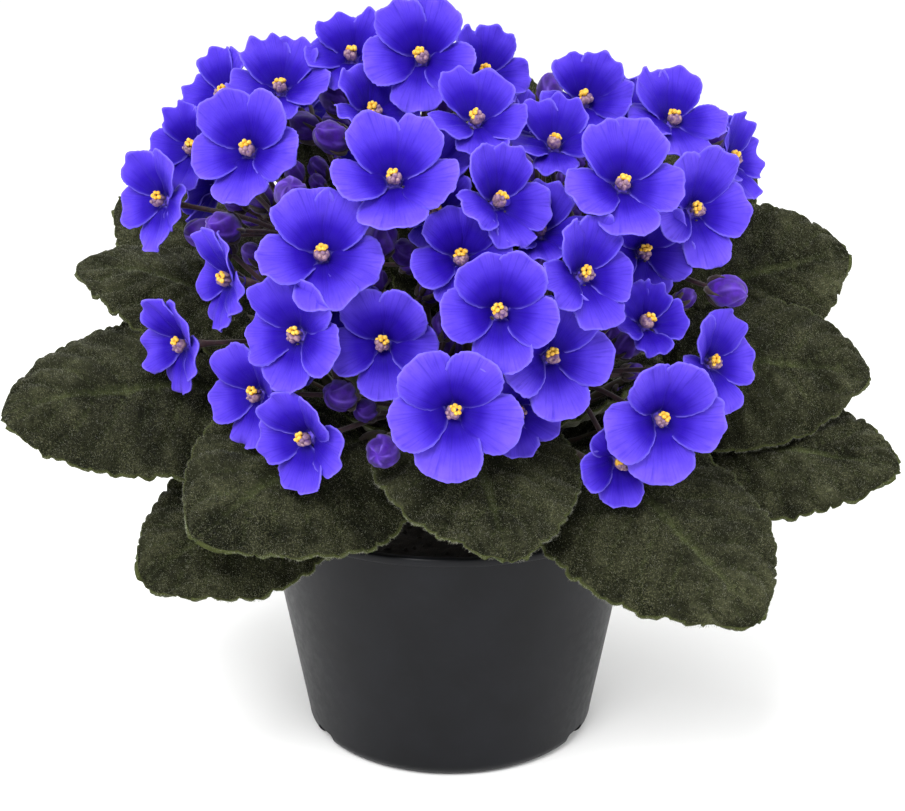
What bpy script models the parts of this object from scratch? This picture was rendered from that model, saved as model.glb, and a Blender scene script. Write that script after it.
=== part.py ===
"""Potted African violet: a nursery pot, its soil, and a flowering plant piece by piece.

The frame has its origin at the centre of the pot's flat underside, +Z up, the plant's
showiest side towards -Y and +X to the right. Lengths below are in millimetres, angles in
degrees, and azimuths turn from the front (0) towards +X (90). Blender works in metres.
"""

import math

import bmesh
import bpy
from mathutils import Matrix, Vector

MM = 0.001
GAP = 0.3                   # clearance kept between pieces that touch on the real plant

# Pot: thin injection-moulded nursery pot
RIM_RADIUS = 60.0
POT_HEIGHT = 78.0
BAND_HEIGHT = 2.4           # slim band moulded round the lip
BAND_PROUD = 1.0
BASE_RADIUS = 46.0
BASE_CORNER = 4.5           # rounded lower edge
WALL = 1.3
FLOOR = 1.6
POT_SEGMENTS = 40
NOTCH_AZIMUTHS = (-60, 60, 180)
NOTCH_WIDTH = 10.0
NOTCH_HEIGHT = 4.2
NOTCH_DEPTH = 14.0

# Soil and crown
SOIL_LEVEL = 66.0
SOIL_CROWN = 3.0            # how much the surface rises towards the stem
CROWN_RADIUS = 8.0
CROWN_BOTTOM = 52.0
CROWN_TOP = 92.0

# Leaves
PETIOLE_RADIUS = 1.9
BLADE_THICKNESS = 1.3
MIDRIB_THICKNESS = 2.6
BLADE_CAMBER = 5.0          # how far the margins bend down below the midrib
BLADE_ARCH = 5.0            # how far the midrib rises between base and tip
LOBE_SWEEP = 7.0            # how far the heart-shaped base reaches back past the petiole

# Flowers
TUBE_LENGTH = 5.0
TUBE_RADIUS = 2.0
THROAT_RADIUS = 2.8
PETAL_THICKNESS = 0.8
CUP_RATIO = 0.13            # rise of the petals' edge over the throat, as a share of the radius
PETAL_AZIMUTHS = (54, 126, 198, 270, 342)
PETAL_REACHES = (0.9, 0.9, 0.97, 1.0, 0.97)   # two smaller upper lobes, three lower ones
LOBE_SHOULDER = 0.9
POINTS_PER_PETAL = 3

# Stalks
PEDUNCLE_RADII = (1.9, 1.5)
PEDICEL_RADIUS = 0.8
CALYX_RADIUS = 1.5
FORK_RADIUS = 2.6
BUD_RADIUS = 4.6
BUD_STRETCH = 1.15
STALK_FOOT_HEIGHT = 85.0

# Each leaf: height where the petiole leaves the crown, blade base, blade tip, full width,
# and how far its upper face leans from straight up towards the front.
LEAVES = {
    "leaf_front_left": (78, (-24, -35, 107), (-69, -78, 92), 62, 36),
    "leaf_front_left_low": (73, (-43, -37, 91), (-86, -68, 75), 50, 32),
    "leaf_front": (78, (3, -35, 112), (15, -95, 93), 56, 6),
    "leaf_front_right": (78, (40, -36, 100), (83, -87, 71), 64, 20),
    "leaf_right_low": (73, (76, -11, 94), (131, -39, 98), 48, 36),
    "leaf_right": (79, (66, 1, 116), (127, -14, 119), 56, 40),
    "leaf_right_high": (74, (70, 26, 130), (127, 25, 148), 56, 50),
    "leaf_back_right": (80, (54, 56, 128), (101, 76, 174), 54, 30),
    "leaf_back": (80, (10, 68, 140), (24, 86, 198), 48, 60),
    "leaf_left": (74, (-66, -20, 117), (-129, -41, 115), 62, 30),
    "leaf_left_high": (80, (-62, 13, 130), (-116, 11, 147), 50, 18),
    "leaf_back_left": (74, (-58, 40, 130), (-110, 52, 160), 54, 30),
    "leaf_back_left_low": (73, (-34, 56, 100), (-66, 112, 104), 62, -20),
    "leaf_back_low": (73, (-2, 58, 90), (-2, 124, 86), 54, -20),
    "leaf_back_right_low": (73, (37, 52, 97), (82, 99, 97), 58, -20),
}

# Each flower: throat centre, the azimuth and elevation it faces, and its full width.
FLOWERS = {
    "flower_01": ((-8, -16, 213), (-8, 33), 34),
    "flower_02": ((-29, 6, 211), (-15, 50), 28),
    "flower_03": ((-50, 2, 202), (-10, 55), 33),
    "flower_04": ((-57, -24, 188), (-20, 35), 35),
    "flower_05": ((-76, -2, 185), (-35, 30), 29),
    "flower_06": ((-84, -14, 172), (-45, 20), 31),
    "flower_07": ((-22, -20, 198), (35, 50), 28),
    "flower_08": ((7, -35, 198), (10, 60), 30),
    "flower_09": ((-15, -54, 185), (0, 50), 36),
    "flower_10": ((13, -53, 179), (35, 40), 31),
    "flower_11": ((-34, -60, 166), (0, 40), 36),
    "flower_12": ((-62, -42, 155), (-60, 15), 30),
    "flower_13": ((-41, -64, 145), (-30, 20), 33),
    "flower_14": ((-77, -34, 134), (-50, 10), 30),
    "flower_15": ((-18, -62, 142), (-5, 20), 32),
    "flower_16": ((3, -60, 165), (0, 30), 29),
    "flower_17": ((13, -74, 154), (0, 25), 33),
    "flower_18": ((24, -49, 170), (15, 55), 27),
    "flower_19": ((27, -64, 139), (25, 25), 36),
    "flower_20": ((36, -58, 160), (35, 30), 32),
    "flower_21": ((29, -32, 191), (5, 60), 28),
    "flower_22": ((39, -8, 200), (5, 45), 29),
    "flower_23": ((65, -7, 194), (20, 55), 33),
    "flower_24": ((47, -45, 182), (10, 42), 36),
    "flower_25": ((70, -24, 171), (30, 25), 35),
    "flower_26": ((55, -30, 160), (15, 20), 30),
    "flower_27": ((55, -44, 143), (20, 45), 24),
    "flower_28": ((75, -36, 129), (40, 25), 32),
    "flower_29": ((58, -60, 120), (15, 15), 37),
    "flower_30": ((47, -61, 108), (10, 5), 25),
    "flower_31": ((1, -78, 128), (0, 15), 38),
    "flower_32": ((-39, -68, 117), (-35, 10), 31),
    "flower_33": ((-54, -50, 124), (-40, 15), 32),
}

# Each stalk: azimuth where it leaves the crown, the point where it forks, the flowers it
# carries, more flowers grown in one piece with it, and its closed buds (centre points).
STALKS = {
    "stalk_left": (
        -80, (-46, -10, 158), ("flower_03", "flower_04", "flower_05", "flower_06"),
        (((-69, 20, 198), (-50, 40), 28),),
        ((-44, -38, 178), (-64, -30, 167), (-72, -14, 162)),
    ),
    "stalk_top": (
        -170, (-10, 2, 172), ("flower_01", "flower_02", "flower_07", "flower_08"),
        (((10, 4, 206), (25, 45), 28),),
        ((-34, -14, 190),),
    ),
    "stalk_centre": (
        25, (4, -20, 144), ("flower_09", "flower_10", "flower_16", "flower_17", "flower_18"),
        (((-6, -36, 186), (5, 60), 26), ((-4, -44, 174), (-10, 50), 25)),
        (),
    ),
    "stalk_right_high": (
        80, (42, -4, 152), ("flower_21", "flower_22", "flower_23", "flower_24", "flower_25",
                            "flower_26"),
        (((84, 2, 181), (55, 30), 28),),
        ((79, -32, 149),),
    ),
    "stalk_left_low": (
        -50, (-34, -22, 126), ("flower_11", "flower_12", "flower_13", "flower_14"),
        (((-30, -46, 150), (-10, 20), 26), ((-43, -42, 137), (-20, 10), 26)),
        ((-19, -50, 168),),
    ),
    "stalk_front": (
        -20, (-8, -28, 108), ("flower_15", "flower_31", "flower_32", "flower_33"),
        (((18, -62, 123), (20, 10), 27),),
        ((-18, -70, 114), (-30, -58, 126)),
    ),
    "stalk_right_low": (
        50, (34, -24, 118), ("flower_19", "flower_20", "flower_27", "flower_28", "flower_29",
                             "flower_30"),
        (),
        (),
    ),
    "stalk_back_left": (
        -130, (-28, 26, 140), (),
        (((-14, 34, 206), (-165, 50), 30), ((-46, 34, 192), (-140, 40), 32),
         ((-74, 28, 169), (-110, 25), 31), ((-24, 58, 176), (-165, 35), 33),
         ((-46, 60, 153), (-145, 20), 30)),
        ((-40, 58, 170),),
    ),
    "stalk_back_right": (
        130, (28, 26, 140), (),
        (((20, 44, 180), (170, 35), 31), ((56, 32, 186), (130, 40), 33),
         ((76, 18, 160), (105, 20), 31), ((52, 52, 166), (140, 30), 30),
         ((36, 74, 127), (155, 10), 32)),
        ((40, 58, 180),),
    ),
}

# Colours (linear RGB), roughness
MATERIALS = {
    "black_plastic": ((0.035, 0.037, 0.042), 0.5),
    "soil": ((0.03, 0.02, 0.014), 0.95),
    "crown": ((0.12, 0.09, 0.04), 0.7),
    "leaf": ((0.045, 0.055, 0.028), 0.75),
    "stalk": ((0.05, 0.012, 0.02), 0.6),
    "petal": ((0.11, 0.07, 0.8), 0.55),
}


# ---------------------------------------------------------------- small helpers

def direction(azimuth, elevation=0.0):
    """Unit vector for an azimuth from the front and an elevation over the horizontal."""
    a = math.radians(azimuth)
    e = math.radians(elevation)
    return Vector((math.sin(a) * math.cos(e), -math.cos(a) * math.cos(e), math.sin(e)))


def material(name):
    """The named Principled BSDF material, made on first use."""
    if name in bpy.data.materials:
        return bpy.data.materials[name]
    colour, roughness = MATERIALS[name]
    made = bpy.data.materials.new(name)
    made.use_nodes = True
    shader = made.node_tree.nodes["Principled BSDF"]
    shader.inputs["Base Color"].default_value = (*colour, 1.0)
    shader.inputs["Roughness"].default_value = roughness
    return made


def add_object(name, bm, material_name):
    """Turn a bmesh in millimetres into a named, smooth-shaded object in metres."""
    bmesh.ops.recalc_face_normals(bm, faces=bm.faces)
    bmesh.ops.scale(bm, vec=(MM, MM, MM), verts=bm.verts)
    mesh = bpy.data.meshes.new(name)
    bm.to_mesh(mesh)
    bm.free()
    mesh.shade_smooth()
    mesh.set_sharp_from_angle(angle=math.radians(40))
    mesh.materials.append(material(material_name))
    made = bpy.data.objects.new(name, mesh)
    bpy.context.scene.collection.objects.link(made)
    return made


def boolean(target, tool, operation):
    """Apply one exact Boolean of tool to target, and remove the tool."""
    step = target.modifiers.new(operation, "BOOLEAN")
    step.operation = operation
    step.solver = "EXACT"
    step.object = tool
    bpy.context.view_layer.update()
    depsgraph = bpy.context.evaluated_depsgraph_get()
    result = bpy.data.meshes.new_from_object(target.evaluated_get(depsgraph))
    target.modifiers.clear()
    target.data = result
    bpy.data.objects.remove(tool)


def bezier(start, start_pull, end_pull, end, count):
    """Points along a cubic curve, both ends included."""
    points = []
    for i in range(count):
        t = i / (count - 1)
        u = 1 - t
        points.append(start * u**3 + start_pull * 3 * u * u * t
                      + end_pull * 3 * u * t * t + end * t**3)
    return points


def loft(bm, rings):
    """Skin a list of equally long rings of points and close both ends."""
    skins = [[bm.verts.new(point) for point in ring] for ring in rings]
    size = len(skins[0])
    for lower, upper in zip(skins, skins[1:]):
        for j in range(size):
            k = (j + 1) % size
            bm.faces.new((lower[j], lower[k], upper[k], upper[j]))
    bm.faces.new(list(reversed(skins[0])))
    bm.faces.new(skins[-1])


def tube_rings(points, radii, sides, start, finish):
    """Round rings square to a path, turned as little as possible from one to the next.

    The first ring is square to the direction start, the last to finish.
    """
    rings = []
    across = start.orthogonal()
    last = len(points) - 1
    for i, point in enumerate(points):
        along = (points[min(i + 1, last)] - points[max(i - 1, 0)]).normalized()
        if i == 0:
            along = start
        if i == last:
            along = finish
        across = (across - along * across.dot(along)).normalized()
        up = along.cross(across)
        turns = [2 * math.pi * j / sides for j in range(sides)]
        rings.append([point + (across * math.cos(a) + up * math.sin(a)) * radii[i] for a in turns])
    return rings


def revolve(profile, segments):
    """Spin an open (radius, height) profile that starts and ends on the axis."""
    bm = bmesh.new()
    points = [bm.verts.new((radius, 0, height)) for radius, height in profile]
    edges = [bm.edges.new(pair) for pair in zip(points, points[1:])]
    bmesh.ops.spin(bm, geom=points + edges, cent=(0, 0, 0), axis=(0, 0, 1),
                   angle=2 * math.pi, steps=segments, use_duplicate=False)
    bmesh.ops.remove_doubles(bm, verts=bm.verts, dist=0.001)
    return bm


def arc(centre, radius, start, end, steps):
    """Points of an arc in the (radius, height) plane."""
    turns = [math.radians(start + (end - start) * i / steps) for i in range(steps + 1)]
    return [(centre[0] + radius * math.cos(a), centre[1] + radius * math.sin(a)) for a in turns]


# ---------------------------------------------------------------- pot, soil and crown

def wall_radius(height):
    """Outer radius of the pot's tapered wall at a height."""
    foot = BASE_CORNER
    top = POT_HEIGHT - BAND_HEIGHT
    share = (height - foot) / (top - foot)
    return BASE_RADIUS + (RIM_RADIUS - BAND_PROUD - BASE_RADIUS) * share


def build_pot():
    top = POT_HEIGHT - BAND_HEIGHT
    outer_corner = arc((BASE_RADIUS - BASE_CORNER, BASE_CORNER), BASE_CORNER, -90, 0, 4)
    inner_corner = arc((BASE_RADIUS - BASE_CORNER, BASE_CORNER), BASE_CORNER - WALL, 0, -90, 3)
    profile = [(0, 0)] + outer_corner
    profile += [(wall_radius(top), top), (RIM_RADIUS, top + 0.3), (RIM_RADIUS, POT_HEIGHT - 0.6)]
    profile += [(RIM_RADIUS - 0.6, POT_HEIGHT), (RIM_RADIUS - BAND_PROUD - WALL + 0.3, POT_HEIGHT)]
    profile += [(wall_radius(top) - WALL, top)] + inner_corner
    profile += [(BASE_RADIUS - BASE_CORNER - 1, FLOOR), (0, FLOOR)]
    pot = add_object("pot", revolve(profile, POT_SEGMENTS), "black_plastic")
    for azimuth in NOTCH_AZIMUTHS:
        boolean(pot, notch_cutter(azimuth), "DIFFERENCE")
    return pot


def notch_cutter(azimuth):
    """A rounded bar that bites a drainage notch out of the pot's lower edge."""
    bm = bmesh.new()
    middle = direction(azimuth) * BASE_RADIUS
    size = Matrix.Diagonal((NOTCH_WIDTH, NOTCH_DEPTH, 2 * NOTCH_HEIGHT, 1))
    place = Matrix.Translation(middle) @ Matrix.Rotation(math.radians(azimuth), 4, "Z") @ size
    bmesh.ops.create_cube(bm, size=1, matrix=place)
    return add_object("notch_cutter", bm, "black_plastic")


def build_soil():
    """Soil that fills the pot with a small gap, with a pit that holds the crown."""
    foot = FLOOR + GAP
    inset = WALL + GAP + 0.1
    pit_radius = CROWN_RADIUS + GAP
    corner = BASE_RADIUS - BASE_CORNER
    profile = [(0, foot), (corner - 1, foot), (BASE_RADIUS - inset - 0.4, BASE_CORNER + 1)]
    profile += [(wall_radius(SOIL_LEVEL) - inset, SOIL_LEVEL)]
    profile += [(pit_radius * 3, SOIL_LEVEL + SOIL_CROWN * 0.7)]
    profile += [(pit_radius, SOIL_LEVEL + SOIL_CROWN), (pit_radius, CROWN_BOTTOM - GAP)]
    profile += [(0, CROWN_BOTTOM - GAP)]
    return add_object("soil", revolve(profile, 32), "soil")


def build_crown():
    """The short woody stem that every leaf and flower stalk grows from."""
    shoulder = arc((CROWN_RADIUS - 5, CROWN_TOP - 5), 5, 0, 90, 3)
    profile = [(0, CROWN_BOTTOM), (CROWN_RADIUS, CROWN_BOTTOM)] + shoulder + [(0, CROWN_TOP)]
    return add_object("crown", revolve(profile, 20), "crown")


# ---------------------------------------------------------------- leaves

def blade_half_width(share, width):
    """Half width of an ovate blade at a share of its length from base to tip."""
    peak_share = 0.45
    peak = peak_share**0.45 * (1 - peak_share)**0.55
    return width / 2 * share**0.45 * (1 - share)**0.55 / peak


def leaf_ring(point, side, up, half_width, thickness, sag, sweep):
    """Eight points: three across the top, one at each margin and three across the underside."""
    def spot(across, lift):
        return (point + side * half_width * across - up * sag * across**2
                + up * lift - sweep * across**2)
    half = thickness / 2
    across_top = [(-1, 0), (-0.5, half), (0, half), (0.5, half)]
    across_under = [(1, 0), (0.5, -half), (0, -half), (-0.5, -half)]
    return [spot(across, lift) for across, lift in across_top + across_under]


def build_leaf(name, foot_height, base, tip, width, lean):
    """One leaf: a petiole from the crown that widens into a heart-shaped blade."""
    base, tip = Vector(base), Vector(tip)
    length = (tip - base).length
    along = (tip - base) / length
    hint = Vector((0, -math.sin(math.radians(lean)), math.cos(math.radians(lean))))
    side = along.cross(hint).normalized()
    up = side.cross(along)
    outward = Vector((base.x, base.y, 0)).normalized()
    foot = outward * (CROWN_RADIUS + GAP) + Vector((0, 0, foot_height))
    reach = (base - foot).length
    rise = (outward + Vector((0, 0, 0.5))).normalized()
    path = bezier(foot, foot + rise * reach * 0.35, base - along * reach * 0.3, base, 6)

    rings = []
    for i, point in enumerate(path[:-1]):
        ahead = (path[i + 1] - path[max(i - 1, 0)]).normalized()
        if i == 0:
            ahead = outward
        flat = (side - ahead * side.dot(ahead)).normalized()
        rise = flat.cross(ahead)
        rings.append([point + (flat * math.cos(a) + rise * math.sin(a)) * PETIOLE_RADIUS
                      for a in [math.pi * (4 - j) / 4 for j in range(8)]])
    for share in (0.0, 0.04, 0.13, 0.28, 0.45, 0.62, 0.78, 0.9, 0.97):
        point = base + along * length * share + up * BLADE_ARCH * 4 * share * (1 - share)
        half = max(blade_half_width(share, width), PETIOLE_RADIUS)
        spread = half / (width / 2)
        thickness = MIDRIB_THICKNESS + (BLADE_THICKNESS - MIDRIB_THICKNESS) * min(share * 2, 1)
        sweep = along * LOBE_SWEEP * (1 - share)**3 * spread
        rings.append(leaf_ring(point, side, up, half, thickness, BLADE_CAMBER * spread, sweep))
    rings.append(leaf_ring(tip, side, up, 1.2, 0.8, 0, Vector()))
    bm = bmesh.new()
    loft(bm, rings)
    return add_object(name, bm, "leaf")


# ---------------------------------------------------------------- flowers

def petal_reach(index):
    """Radius of the corolla's edge, as a share of the full radius, at one edge point."""
    petal, place = divmod(index, POINTS_PER_PETAL)
    shoulder = 1.0 if place == POINTS_PER_PETAL // 2 else LOBE_SHOULDER
    return PETAL_REACHES[petal] * shoulder


def flower_bmesh(width):
    """A five-lobed shallow cup with a short tube behind, facing +Z, upper lobes at +Y."""
    count = len(PETAL_AZIMUTHS) * POINTS_PER_PETAL
    step = 2 * math.pi / count
    first = math.radians(PETAL_AZIMUTHS[0]) - step * (POINTS_PER_PETAL // 2)
    turns = [first + step * i for i in range(count)]
    radius = width / 2
    lip = radius * CUP_RATIO

    def ring(reach, height):
        return [Vector((reach(i) * math.cos(a), reach(i) * math.sin(a), height))
                for i, a in enumerate(turns)]

    bm = bmesh.new()
    loft(bm, [
        ring(lambda i: TUBE_RADIUS, -TUBE_LENGTH),
        ring(lambda i: THROAT_RADIUS, -PETAL_THICKNESS),
        ring(lambda i: petal_reach(i) * radius, lip - PETAL_THICKNESS),
        ring(lambda i: petal_reach(i) * radius, lip),
    ])
    front = max(bm.faces, key=lambda face: face.calc_center_median().z)
    bmesh.ops.poke(bm, faces=[front])
    throat = max(bm.verts, key=lambda vert: vert.co.z - math.hypot(vert.co.x, vert.co.y))
    throat.co = Vector((0, 0, 0))
    return bm


def facing_matrix(place, facing):
    """Stands a flower at its throat centre with its upper lobes as high as they go."""
    forward = direction(*facing)
    right = Vector((0, 0, 1)).cross(forward).normalized()
    up = forward.cross(right)
    turn = Matrix((right, up, forward)).transposed().to_4x4()
    return Matrix.Translation(Vector(place) * MM) @ turn


def build_flower(name, place, facing, width):
    """One flower, in its own object, set at its place by its matrix."""
    made = add_object(name, flower_bmesh(width), "petal")
    made.matrix_world = facing_matrix(place, facing)
    return made


# ---------------------------------------------------------------- stalks

def build_pedicel(fork, end, arrival, tip_radius):
    """A thin stalk from the fork that arrives at its flower from straight behind."""
    reach = (end - fork).length
    leave = ((end - fork).normalized() + Vector((0, 0, 0.6))).normalized()
    path = bezier(fork, fork + leave * reach * 0.35, end - arrival * reach * 0.35, end, 5)
    radii = [PEDICEL_RADIUS] * 4 + [tip_radius]
    bm = bmesh.new()
    loft(bm, tube_rings(path, radii, 5, leave, arrival))
    return add_object("pedicel", bm, "stalk")


def build_bud(centre, along):
    """A closed egg-shaped bud on the end of its pedicel."""
    bm = bmesh.new()
    bmesh.ops.create_uvsphere(bm, u_segments=7, v_segments=5, radius=BUD_RADIUS)
    bmesh.ops.scale(bm, vec=(1, 1, BUD_STRETCH), verts=bm.verts)
    turn = along.to_track_quat("Z", "Y").to_matrix().to_4x4()
    bmesh.ops.transform(bm, matrix=Matrix.Translation(centre) @ turn, verts=bm.verts)
    return add_object("bud", bm, "stalk")


def build_stalk(name, azimuth, fork, carried, grown, buds):
    """One flower stalk with its fork, pedicels, buds and the flowers grown with it."""
    fork = Vector(fork)
    outward = direction(azimuth)
    foot = outward * (CROWN_RADIUS + GAP) + Vector((0, 0, STALK_FOOT_HEIGHT))
    reach = (fork - foot).length
    lift = (outward + Vector((0, 0, 1))).normalized()
    path = bezier(foot, foot + lift * reach * 0.4, fork - Vector((0, 0, reach * 0.3)), fork, 6)
    first, last = PEDUNCLE_RADII
    radii = [first + (last - first) * i / (len(path) - 1) for i in range(len(path))]
    bm = bmesh.new()
    loft(bm, tube_rings(path, radii, 8, outward, Vector((0, 0, 1))))
    stalk = add_object(name, bm, "stalk")

    bm = bmesh.new()
    bmesh.ops.create_icosphere(bm, subdivisions=1, radius=FORK_RADIUS,
                               matrix=Matrix.Translation(fork))
    boolean(stalk, add_object("fork", bm, "stalk"), "UNION")
    for flower in carried:
        place, facing, _ = FLOWERS[flower]
        arrival = direction(*facing)
        end = Vector(place) - arrival * (TUBE_LENGTH + GAP)
        boolean(stalk, build_pedicel(fork, end, arrival, CALYX_RADIUS), "UNION")
    for place, facing, width in grown:
        arrival = direction(*facing)
        end = Vector(place) - arrival * (TUBE_LENGTH - 2)
        boolean(stalk, build_pedicel(fork, end, arrival, PEDICEL_RADIUS), "UNION")
        boolean(stalk, build_flower("grown_flower", place, facing, width), "UNION")
    for centre in buds:
        centre = Vector(centre)
        arrival = (centre - fork).normalized()
        boolean(stalk, build_pedicel(fork, centre, arrival, PEDICEL_RADIUS), "UNION")
        boolean(stalk, build_bud(centre, arrival), "UNION")
    return stalk


# ---------------------------------------------------------------- assembly

def main():
    for old in list(bpy.data.objects):
        bpy.data.objects.remove(old)
    build_pot()
    build_soil()
    build_crown()
    for name, shape in LEAVES.items():
        build_leaf(name, *shape)
    for name, shape in FLOWERS.items():
        build_flower(name, *shape)
    for name, shape in STALKS.items():
        build_stalk(name, *shape)


main()
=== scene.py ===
"""Looks of a potted African violet: velvety quilted leaves, ruffled violet flowers on hairy
stalks, peat compost and a moulded nursery pot, modelled round the plant's fixed frame.

Laid out as an add-on: each operator models one kind of piece, and main() runs them in order.
"""

import math
import random

import bmesh
import bpy
import numpy as np
from mathutils import Matrix, Vector, noise


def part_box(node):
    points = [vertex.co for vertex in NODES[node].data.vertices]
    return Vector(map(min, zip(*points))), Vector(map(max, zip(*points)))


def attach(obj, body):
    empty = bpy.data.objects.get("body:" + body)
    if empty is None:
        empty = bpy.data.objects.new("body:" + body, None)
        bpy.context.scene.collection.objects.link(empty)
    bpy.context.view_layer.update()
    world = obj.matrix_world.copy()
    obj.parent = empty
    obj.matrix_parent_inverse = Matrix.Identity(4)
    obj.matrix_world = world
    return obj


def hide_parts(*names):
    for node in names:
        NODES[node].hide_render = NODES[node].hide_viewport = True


bl_info = {
    "name": "Potted African Violet",
    "version": (1, 0, 0),
    "blender": (4, 5, 0),
    "location": "View3D > Sidebar > Violet",
    "description": "Models the leaves, flowers, stalks, compost and pot of an African violet",
    "category": "Add Mesh",
}

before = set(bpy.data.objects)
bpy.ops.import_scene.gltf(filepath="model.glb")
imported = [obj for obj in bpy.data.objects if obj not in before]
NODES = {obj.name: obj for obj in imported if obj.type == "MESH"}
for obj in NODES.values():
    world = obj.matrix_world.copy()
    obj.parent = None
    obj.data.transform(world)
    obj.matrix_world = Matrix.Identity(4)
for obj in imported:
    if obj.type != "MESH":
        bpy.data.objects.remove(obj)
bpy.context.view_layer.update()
MM = 0.001
UP = Vector((0, 0, 1))
TURN = 6.28                     # a full turn for random phases, in radians

POT_LOW, POT_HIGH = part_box("pot")
SOIL_LOW, SOIL_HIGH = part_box("soil")
CROWN_LOW, CROWN_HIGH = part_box("crown")
LEAF_NODES = sorted(name for name in NODES if name.startswith("leaf"))
FLOWER_NODES = sorted(name for name in NODES if name.startswith("flower"))

LEAF_FOOT_HEIGHT = 86 * MM
STALK_FOOT_HEIGHT = 85 * MM

# Seeds of the random draws that don't count pieces.
CRUMB_SEED = 7
BUD_SEED = 11
FRINGE_SEED = 100
STALK_HAIR_SEED = 300

# Places of a stalk's materials on its mesh.
STEM, CALYX, BUD = range(3)

# Places along the stalks that the solids don't give separately, in millimetres and degrees.
# Each stalk: azimuth where it leaves the crown (0 at the front, 90 at +X), where it forks,
# the flowers it carries, more flowers grown on it (throat, azimuth and elevation it faces,
# width) and its closed buds.
STALKS = {
    "stalk_left": (
        -80, (-46, -10, 158), ("flower_03", "flower_04", "flower_05", "flower_06"),
        (((-69, 20, 198), (-50, 40), 28),),
        ((-44, -38, 178), (-64, -30, 167), (-72, -14, 162), (-57, 8, 168)),
    ),
    "stalk_top": (
        -170, (-10, 2, 172), ("flower_01", "flower_02", "flower_07", "flower_08"),
        (((10, 4, 206), (25, 45), 28),),
        ((-34, -14, 190), (-34, 8, 198), (-44, 12, 189), (-34, 15, 189),
         (-3, 10, 196)),
    ),
    "stalk_centre": (
        25, (4, -20, 144), ("flower_09", "flower_10", "flower_16", "flower_17", "flower_18"),
        (((-6, -36, 186), (5, 60), 26), ((-4, -44, 174), (-10, 50), 25)),
        (),
    ),
    "stalk_right_high": (
        80, (42, -4, 152), ("flower_21", "flower_22", "flower_23", "flower_24", "flower_25",
                            "flower_26"),
        (((84, 2, 181), (55, 30), 28),),
        ((79, -32, 149), (37, 0, 165), (82, 20, 185)),
    ),
    "stalk_left_low": (
        -50, (-34, -22, 126), ("flower_11", "flower_12", "flower_13", "flower_14"),
        (((-30, -46, 150), (-10, 20), 26), ((-43, -42, 137), (-20, 10), 26)),
        ((-19, -50, 168),),
    ),
    "stalk_front": (
        -20, (-8, -28, 108), ("flower_15", "flower_31", "flower_32", "flower_33"),
        (((18, -62, 123), (20, 10), 27),),
        ((-18, -70, 114), (-30, -58, 126), (2, -12, 127)),
    ),
    "stalk_right_low": (
        50, (34, -24, 118), ("flower_19", "flower_20", "flower_27", "flower_28", "flower_29",
                             "flower_30"),
        (),
        ((54, 2, 106), (49, -10, 131)),
    ),
    "stalk_back_left": (
        -130, (-28, 26, 140), (),
        (((-14, 34, 206), (-165, 50), 30), ((-46, 34, 192), (-140, 40), 32),
         ((-74, 28, 169), (-110, 25), 31), ((-24, 58, 176), (-165, 35), 33),
         ((-46, 60, 153), (-145, 20), 30)),
        ((-40, 58, 170),),
    ),
    "stalk_back_right": (
        130, (28, 26, 140), (),
        (((20, 44, 180), (170, 35), 31), ((56, 32, 186), (130, 40), 33),
         ((76, 18, 160), (105, 20), 31), ((52, 52, 166), (140, 30), 30),
         ((36, 74, 127), (155, 10), 32)),
        ((40, 58, 180),),
    ),
}

# Small leaves round the crown, under the flowers: azimuth, reach and height of the blade's
# base, reach and height of its tip, and its width.
YOUNG_LEAVES = (
    (-150, 20, 122, 48, 176, 40),
    (155, 20, 122, 48, 176, 40),
    (-105, 20, 116, 56, 166, 38),
    (105, 20, 116, 56, 164, 38),
    (-65, 18, 104, 50, 138, 34),
    (65, 18, 104, 50, 138, 34),
    (2, 16, 100, 38, 128, 28),
    (180, 16, 128, 30, 186, 36),
    (-128, 22, 130, 66, 184, 40),
    (-78, 20, 97, 60, 116, 32),
    (84, 20, 97, 60, 116, 32),
    (-84, 18, 100, 60, 125, 40),
    (78, 18, 89, 61, 108, 42),
)


# ---------------------------------------------------------------- colours and materials

def srgb(text, alpha=False):
    """A hex colour turned to linear values."""
    channels = [int(text[i:i + 2], 16) / 255 for i in (1, 3, 5)]
    linear = [c / 12.92 if c <= 0.04045 else ((c + 0.055) / 1.055) ** 2.4 for c in channels]
    return (*linear, 1.0) if alpha else tuple(linear)


def rgba(colour):
    """A colour property as a socket value."""
    return (*colour, 1.0)


def node(tree, kind, settings=(), inputs=()):
    """Add one node: settings are its own values, inputs are values or sockets to link."""
    made = tree.nodes.new(kind)
    for key, value in dict(settings).items():
        setattr(made, key, value)
    for key, value in dict(inputs).items():
        if isinstance(value, bpy.types.NodeSocket):
            tree.links.new(value, made.inputs[key])
        else:
            made.inputs[key].default_value = value
    return made


def blend(tree, factor, first, second):
    """Colour socket that mixes two colours by a factor."""
    mixed = node(tree, "ShaderNodeMix", {"data_type": "RGBA"}, {0: factor, 6: first, 7: second})
    return mixed.outputs[2]


def remap(tree, value, low, high, to_low=0.0, to_high=1.0):
    """Value socket moved from one range to another, and kept inside it."""
    ranged = node(tree, "ShaderNodeMapRange", {"clamp": True},
                  {0: value, 1: low, 2: high, 3: to_low, 4: to_high})
    return ranged.outputs[0]


def start_material(name, sockets):
    """A Principled BSDF material with constant socket values; gives material, tree, shader."""
    made = bpy.data.materials.new(name)
    made.use_nodes = True
    shader = made.node_tree.nodes["Principled BSDF"]
    for key, value in sockets.items():
        shader.inputs[key].default_value = value
    return made, made.node_tree, shader


def translucent(weight, reach):
    """Sockets for light that spreads under a skin; reach is in mm for red, green and blue."""
    return {"Subsurface Weight": weight, "Subsurface Radius": tuple(r * MM for r in reach),
            "Subsurface Scale": 1.0}


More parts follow.
